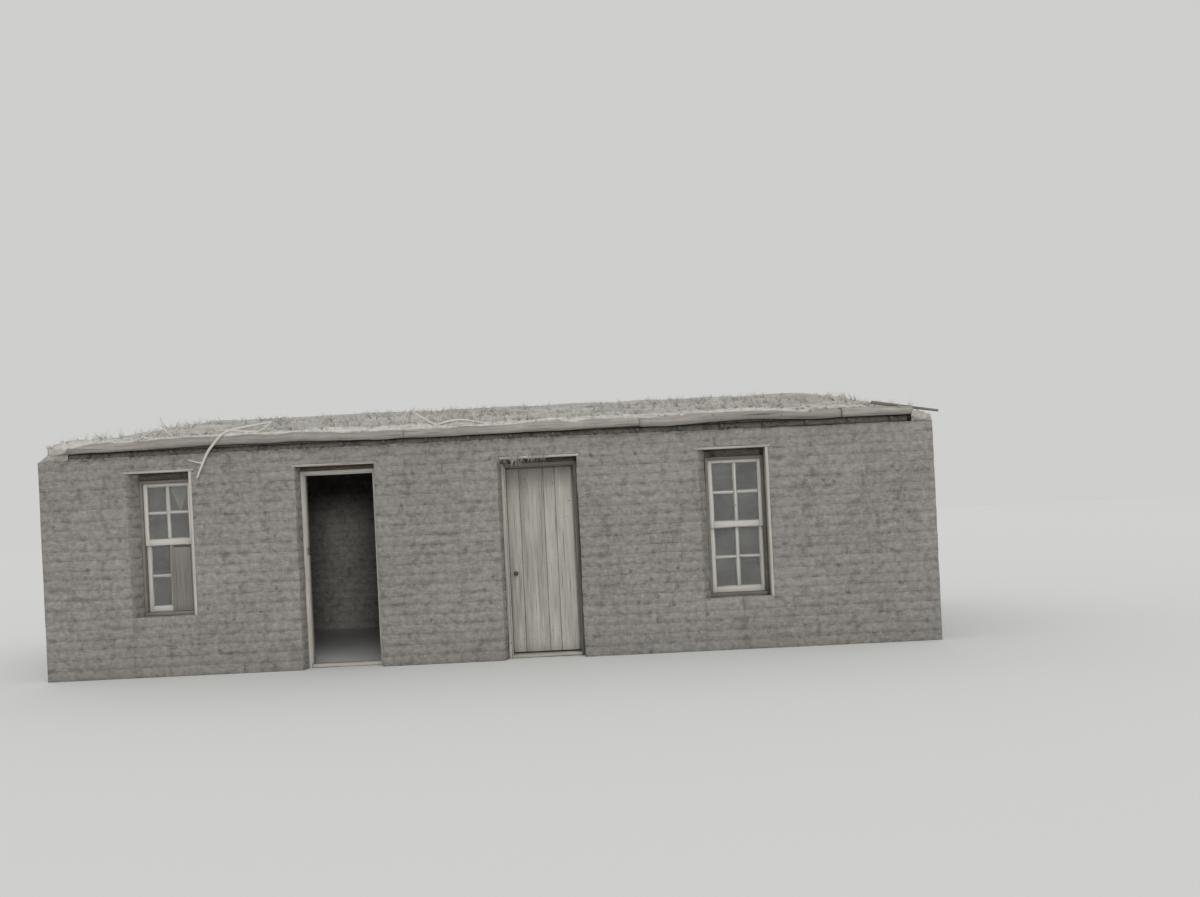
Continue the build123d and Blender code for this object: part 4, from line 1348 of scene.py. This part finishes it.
# Curtain. A small cotton cloth hangs folded to a point inside the upper right pane of the west
# window. It is tacked to the head of the frame at its top edge.
curtain_low, curtain_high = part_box("west_window_curtain")
curtain_flat = (0.25, 0.3)
curtain_side_drop = 0.06
curtain_columns = 56
curtain_rows = 30
curtain_point = 0.47
curtain_folds = 5
curtain_fold_depth = 0.0031
curtain_cloth = 0.0008
curtain_drop_share = 0.985
curtain = bmesh.new()
bmesh.ops.create_grid(curtain, x_segments=curtain_columns, y_segments=curtain_rows, size=0.5)
weave_layer = curtain.verts.layers.float_vector.new("weave")
for vert in curtain.verts:
    across = vert.co.x + 0.5
    down = 0.5 - vert.co.y
    reach = curtain_point if across < curtain_point else 1 - curtain_point
    to_point = 1 - abs(across - curtain_point) / reach
    drop = between(curtain_side_drop, curtain_flat[1], to_point ** 1.1)
    vert[weave_layer] = (across * curtain_flat[0], down * drop, 0)
    fold = math.sin(across * curtain_folds * math.tau + down * 1.4) * (0.35 + 0.65 * down)
    fold += 0.35 * math.sin(across * 23 + down * 5) * down
    gather = 0.012 * math.sin(across * 31 + down * 3) * down
    vert.co = (
        between(curtain_low.x, curtain_high.x, across + gather),
        (curtain_low.y + curtain_high.y) / 2 + curtain_fold_depth * fold,
        curtain_high.z - 0.001 - drop * down * curtain_drop_share,
    )
curtain_material, curtain_tree = new_material("plain_cotton")
curtain_place = attribute(curtain_tree, "weave", "Vector")
threads = maths(curtain_tree, "ADD", *(
    put(
        curtain_tree, "TexWave", {"Vector": curtain_place, "Scale": 260.0, "Distortion": 0.6, "Detail": 1.0},
        bands_direction=direction,
    ).outputs["Fac"]
    for direction in ("X", "Y")
))
curtain_stains = mottled(curtain_tree, curtain_place, 14.0, 160.0, 40.0, 0.05)["Patches"]
end_material(curtain_tree, {
    "Base Color": layered(curtain_tree, (216, 213, 206), (curtain_stains, (238, 236, 230))),
    "Roughness": 0.9, "Normal": bumped(curtain_tree, threads, 0.35, 0.0006), "Sheen Weight": 0.2,
})
curtain_area = sum(face.calc_area() for face in curtain.faces)
curtain_piece = make_piece(
    curtain, "west_window_curtain_cloth", curtain_material, "curtain", "west_window_curtain",
)
curtain_piece.modifiers.new("cloth_thickness", "SOLIDIFY").thickness = curtain_cloth

# Loose board. A rough sawn board, left over from some other use, stands on the west window's sill
# and leans upright in front of the right half of the lower sash. Nothing fixes it.
loose_material = wood_material(
    "rough_board", (98, 95, 89), (150, 146, 139), (66, 63, 58), (116, 112, 105), bump=0.5,
)
loose_board = bmesh.new()
add_board(loose_board, *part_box("west_window_board"), 2, random.Random(7), edge=0.003, wear=0.004)
make_piece(loose_board, "west_window_board_rough", loose_material, "board", "west_window_board")

# Door leaf. Four upright boards of different widths, held by three nailed ledges behind. Their
# edges are bevelled to a groove at each seam, and nail heads show in rows at the ledges.
leaf_low, leaf_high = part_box("east_door_leaf")
leaf_seams = (0.31, 0.56, 0.68)
seam_gap = 0.0012
leaf_top_wear = 0.002
top_shade_from_z = 1.7
painted_top_shade = 2.0
ledge_low, ledge_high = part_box("east_door_ledges")
ledge_height = 0.14
ledge_middles = (0.218, 1.0095, 1.801)
nail_radius = 0.0042
nail_rise = 0.0012
nail_sink = 0.0005
nail_sway = 0.05
nail_margin = 0.01
# Shares of a board's width and of the ledge's height where its four nails are.
nail_shares = ((0.2, -0.3), (0.8, -0.28), (0.24, 0.3), (0.77, 0.27))
leaf_material = wood_material(
    "door_board", (124, 120, 113), (198, 194, 185), (82, 78, 72), (142, 137, 129), bump=0.4, patch_share=0.35,
)
leaf_random = random.Random(83)
leaf = bmesh.new()
leaf_edges = (leaf_low.x, *leaf_seams, leaf_high.x)
for low_x, high_x in zip(leaf_edges, leaf_edges[1:]):
    add_board(
        leaf, (low_x + seam_gap / 2, leaf_low.y, leaf_low.z),
        (high_x - seam_gap / 2, leaf_high.y, leaf_high.z - leaf_random.uniform(0, leaf_top_wear)), 2,
        leaf_random, edge=0.0045, wear=0.0014,
    )
leaf_tone = leaf.verts.layers.float["tone"]
# Painted shade: each board darkens towards its top, as if shaded by the head and packing above.
for vert in leaf.verts:
    vert[leaf_tone] -= max(0.0, (vert.co.z - top_shade_from_z) / (leaf_high.z - top_shade_from_z)) * painted_top_shade
make_piece(leaf, "east_door_leaf_boards", leaf_material, "board", "east_door_leaf", body="east_door")
ledges = bmesh.new()
nails = bmesh.new()
for middle_z in ledge_middles:
    low_z, high_z = about(middle_z, ledge_height / 2)
    add_board(
        ledges, (ledge_low.x, ledge_low.y, low_z), (ledge_high.x, ledge_high.y, high_z), 0, leaf_random,
        edge=0.004,
    )
    for low_x, high_x in zip(leaf_edges, leaf_edges[1:]):
        for share_x, share_z in nail_shares:
            x = between(low_x, high_x, share_x + leaf_random.uniform(-nail_sway, nail_sway))
            if ledge_low.x + nail_margin < x < ledge_high.x - nail_margin:
                nail_z = middle_z + ledge_height * share_z
                nail_place = Matrix.Translation((x, leaf_low.y + nail_sink, nail_z))
                bmesh.ops.create_cone(
                    nails, cap_ends=True, segments=8, radius1=nail_radius, radius2=nail_radius * 0.6,
                    depth=nail_rise, matrix=nail_place @ Matrix.Rotation(quarter_turn, 4, "X"),
                )
make_piece(ledges, "east_door_ledge_boards", leaf_material, "board", "east_door_ledges", body="east_door")

# Iron. Two strap hinges on pintles, a rim latch with a round knob, a keeper plate on the empty
# west frame, and cut nails. All are plain wrought or cast iron, rusted brown and rubbed at edges.
iron_material, iron_tree = new_material("rusted_iron")
iron_mottle = mottled(iron_tree, object_place(iron_tree), 26.0, 240.0, 160.0, 0.35)
iron_pits = maths(iron_tree, "MULTIPLY", iron_mottle["Pits"], 0.6)
end_material(iron_tree, {
    "Base Color": layered(
        iron_tree, (52, 45, 40), (iron_mottle["Patches"], (98, 80, 66)), (iron_pits, (32, 28, 26)),
    ),
    "Metallic": spread(iron_tree, iron_mottle["Patches"], 0.5, 0.1, top=0.7),
    "Roughness": weighted(iron_tree, 0.6, (iron_mottle["Specks"], 0.25)),
    "Normal": bumped(iron_tree, iron_mottle["Specks"], 0.4, 0.0008),
})
for node in ("east_door_straps", "east_door_pintles", "east_door_latch", "west_door_keeper"):
    dress(node, iron_material)
make_piece(nails, "east_door_nails", iron_material, "iron", body="east_door", smooth=False)

# Roots and wisps on the walls. Shaving the sods left short root ends all over the front, and long
# grass hangs from the course above the east door over most of its plank.
root_count = 900
root_field = ((-4.5, 4.5), -2.432, (0.05, 2.2))
rootless_spans = ((-3.72, -2.9), (-2.0, -1.1), (0.07, 0.95), (2.1, 2.95))
fringe_count = 150
fringe_field = ((0.08, 0.62), -2.434, (2.07, 2.15))
fringe_gap_pitch = 14
fringe_gap_range = (-0.5, 0.1)
root_shapes = [grow_tuft(seed + 110, 3, 0.018, 0.012, 0.0009) for seed in range(5)]
fringe_shapes = [grow_tuft(seed + 130, 4, 0.1, 0.03, 0.0016) for seed in range(6)]
root_random = random.Random(97)


def by_opening(place):
    return any(low_x < place[0] < high_x for low_x, high_x in rootless_spans)


def in_fringe_gap(place):
    growth_here = noise.noise(Vector((place[0] * fringe_gap_pitch, 0, 5)))
    return growth_here < root_random.uniform(*fringe_gap_range)


roots = bmesh.new()
strew(
    roots, root_shapes, root_random, root_count, root_field, ((-0.8, 0.8), -1, (-1.2, 0.4)), (0.6, 1.3),
    by_opening,
)
strew(
    roots, fringe_shapes, root_random, fringe_count, fringe_field, ((-0.25, 0.25), (-0.3, -0.12), -1),
    (0.35, 1.25), in_fringe_gap,
)
make_piece(roots, "wall_roots", grass_material, "sod")
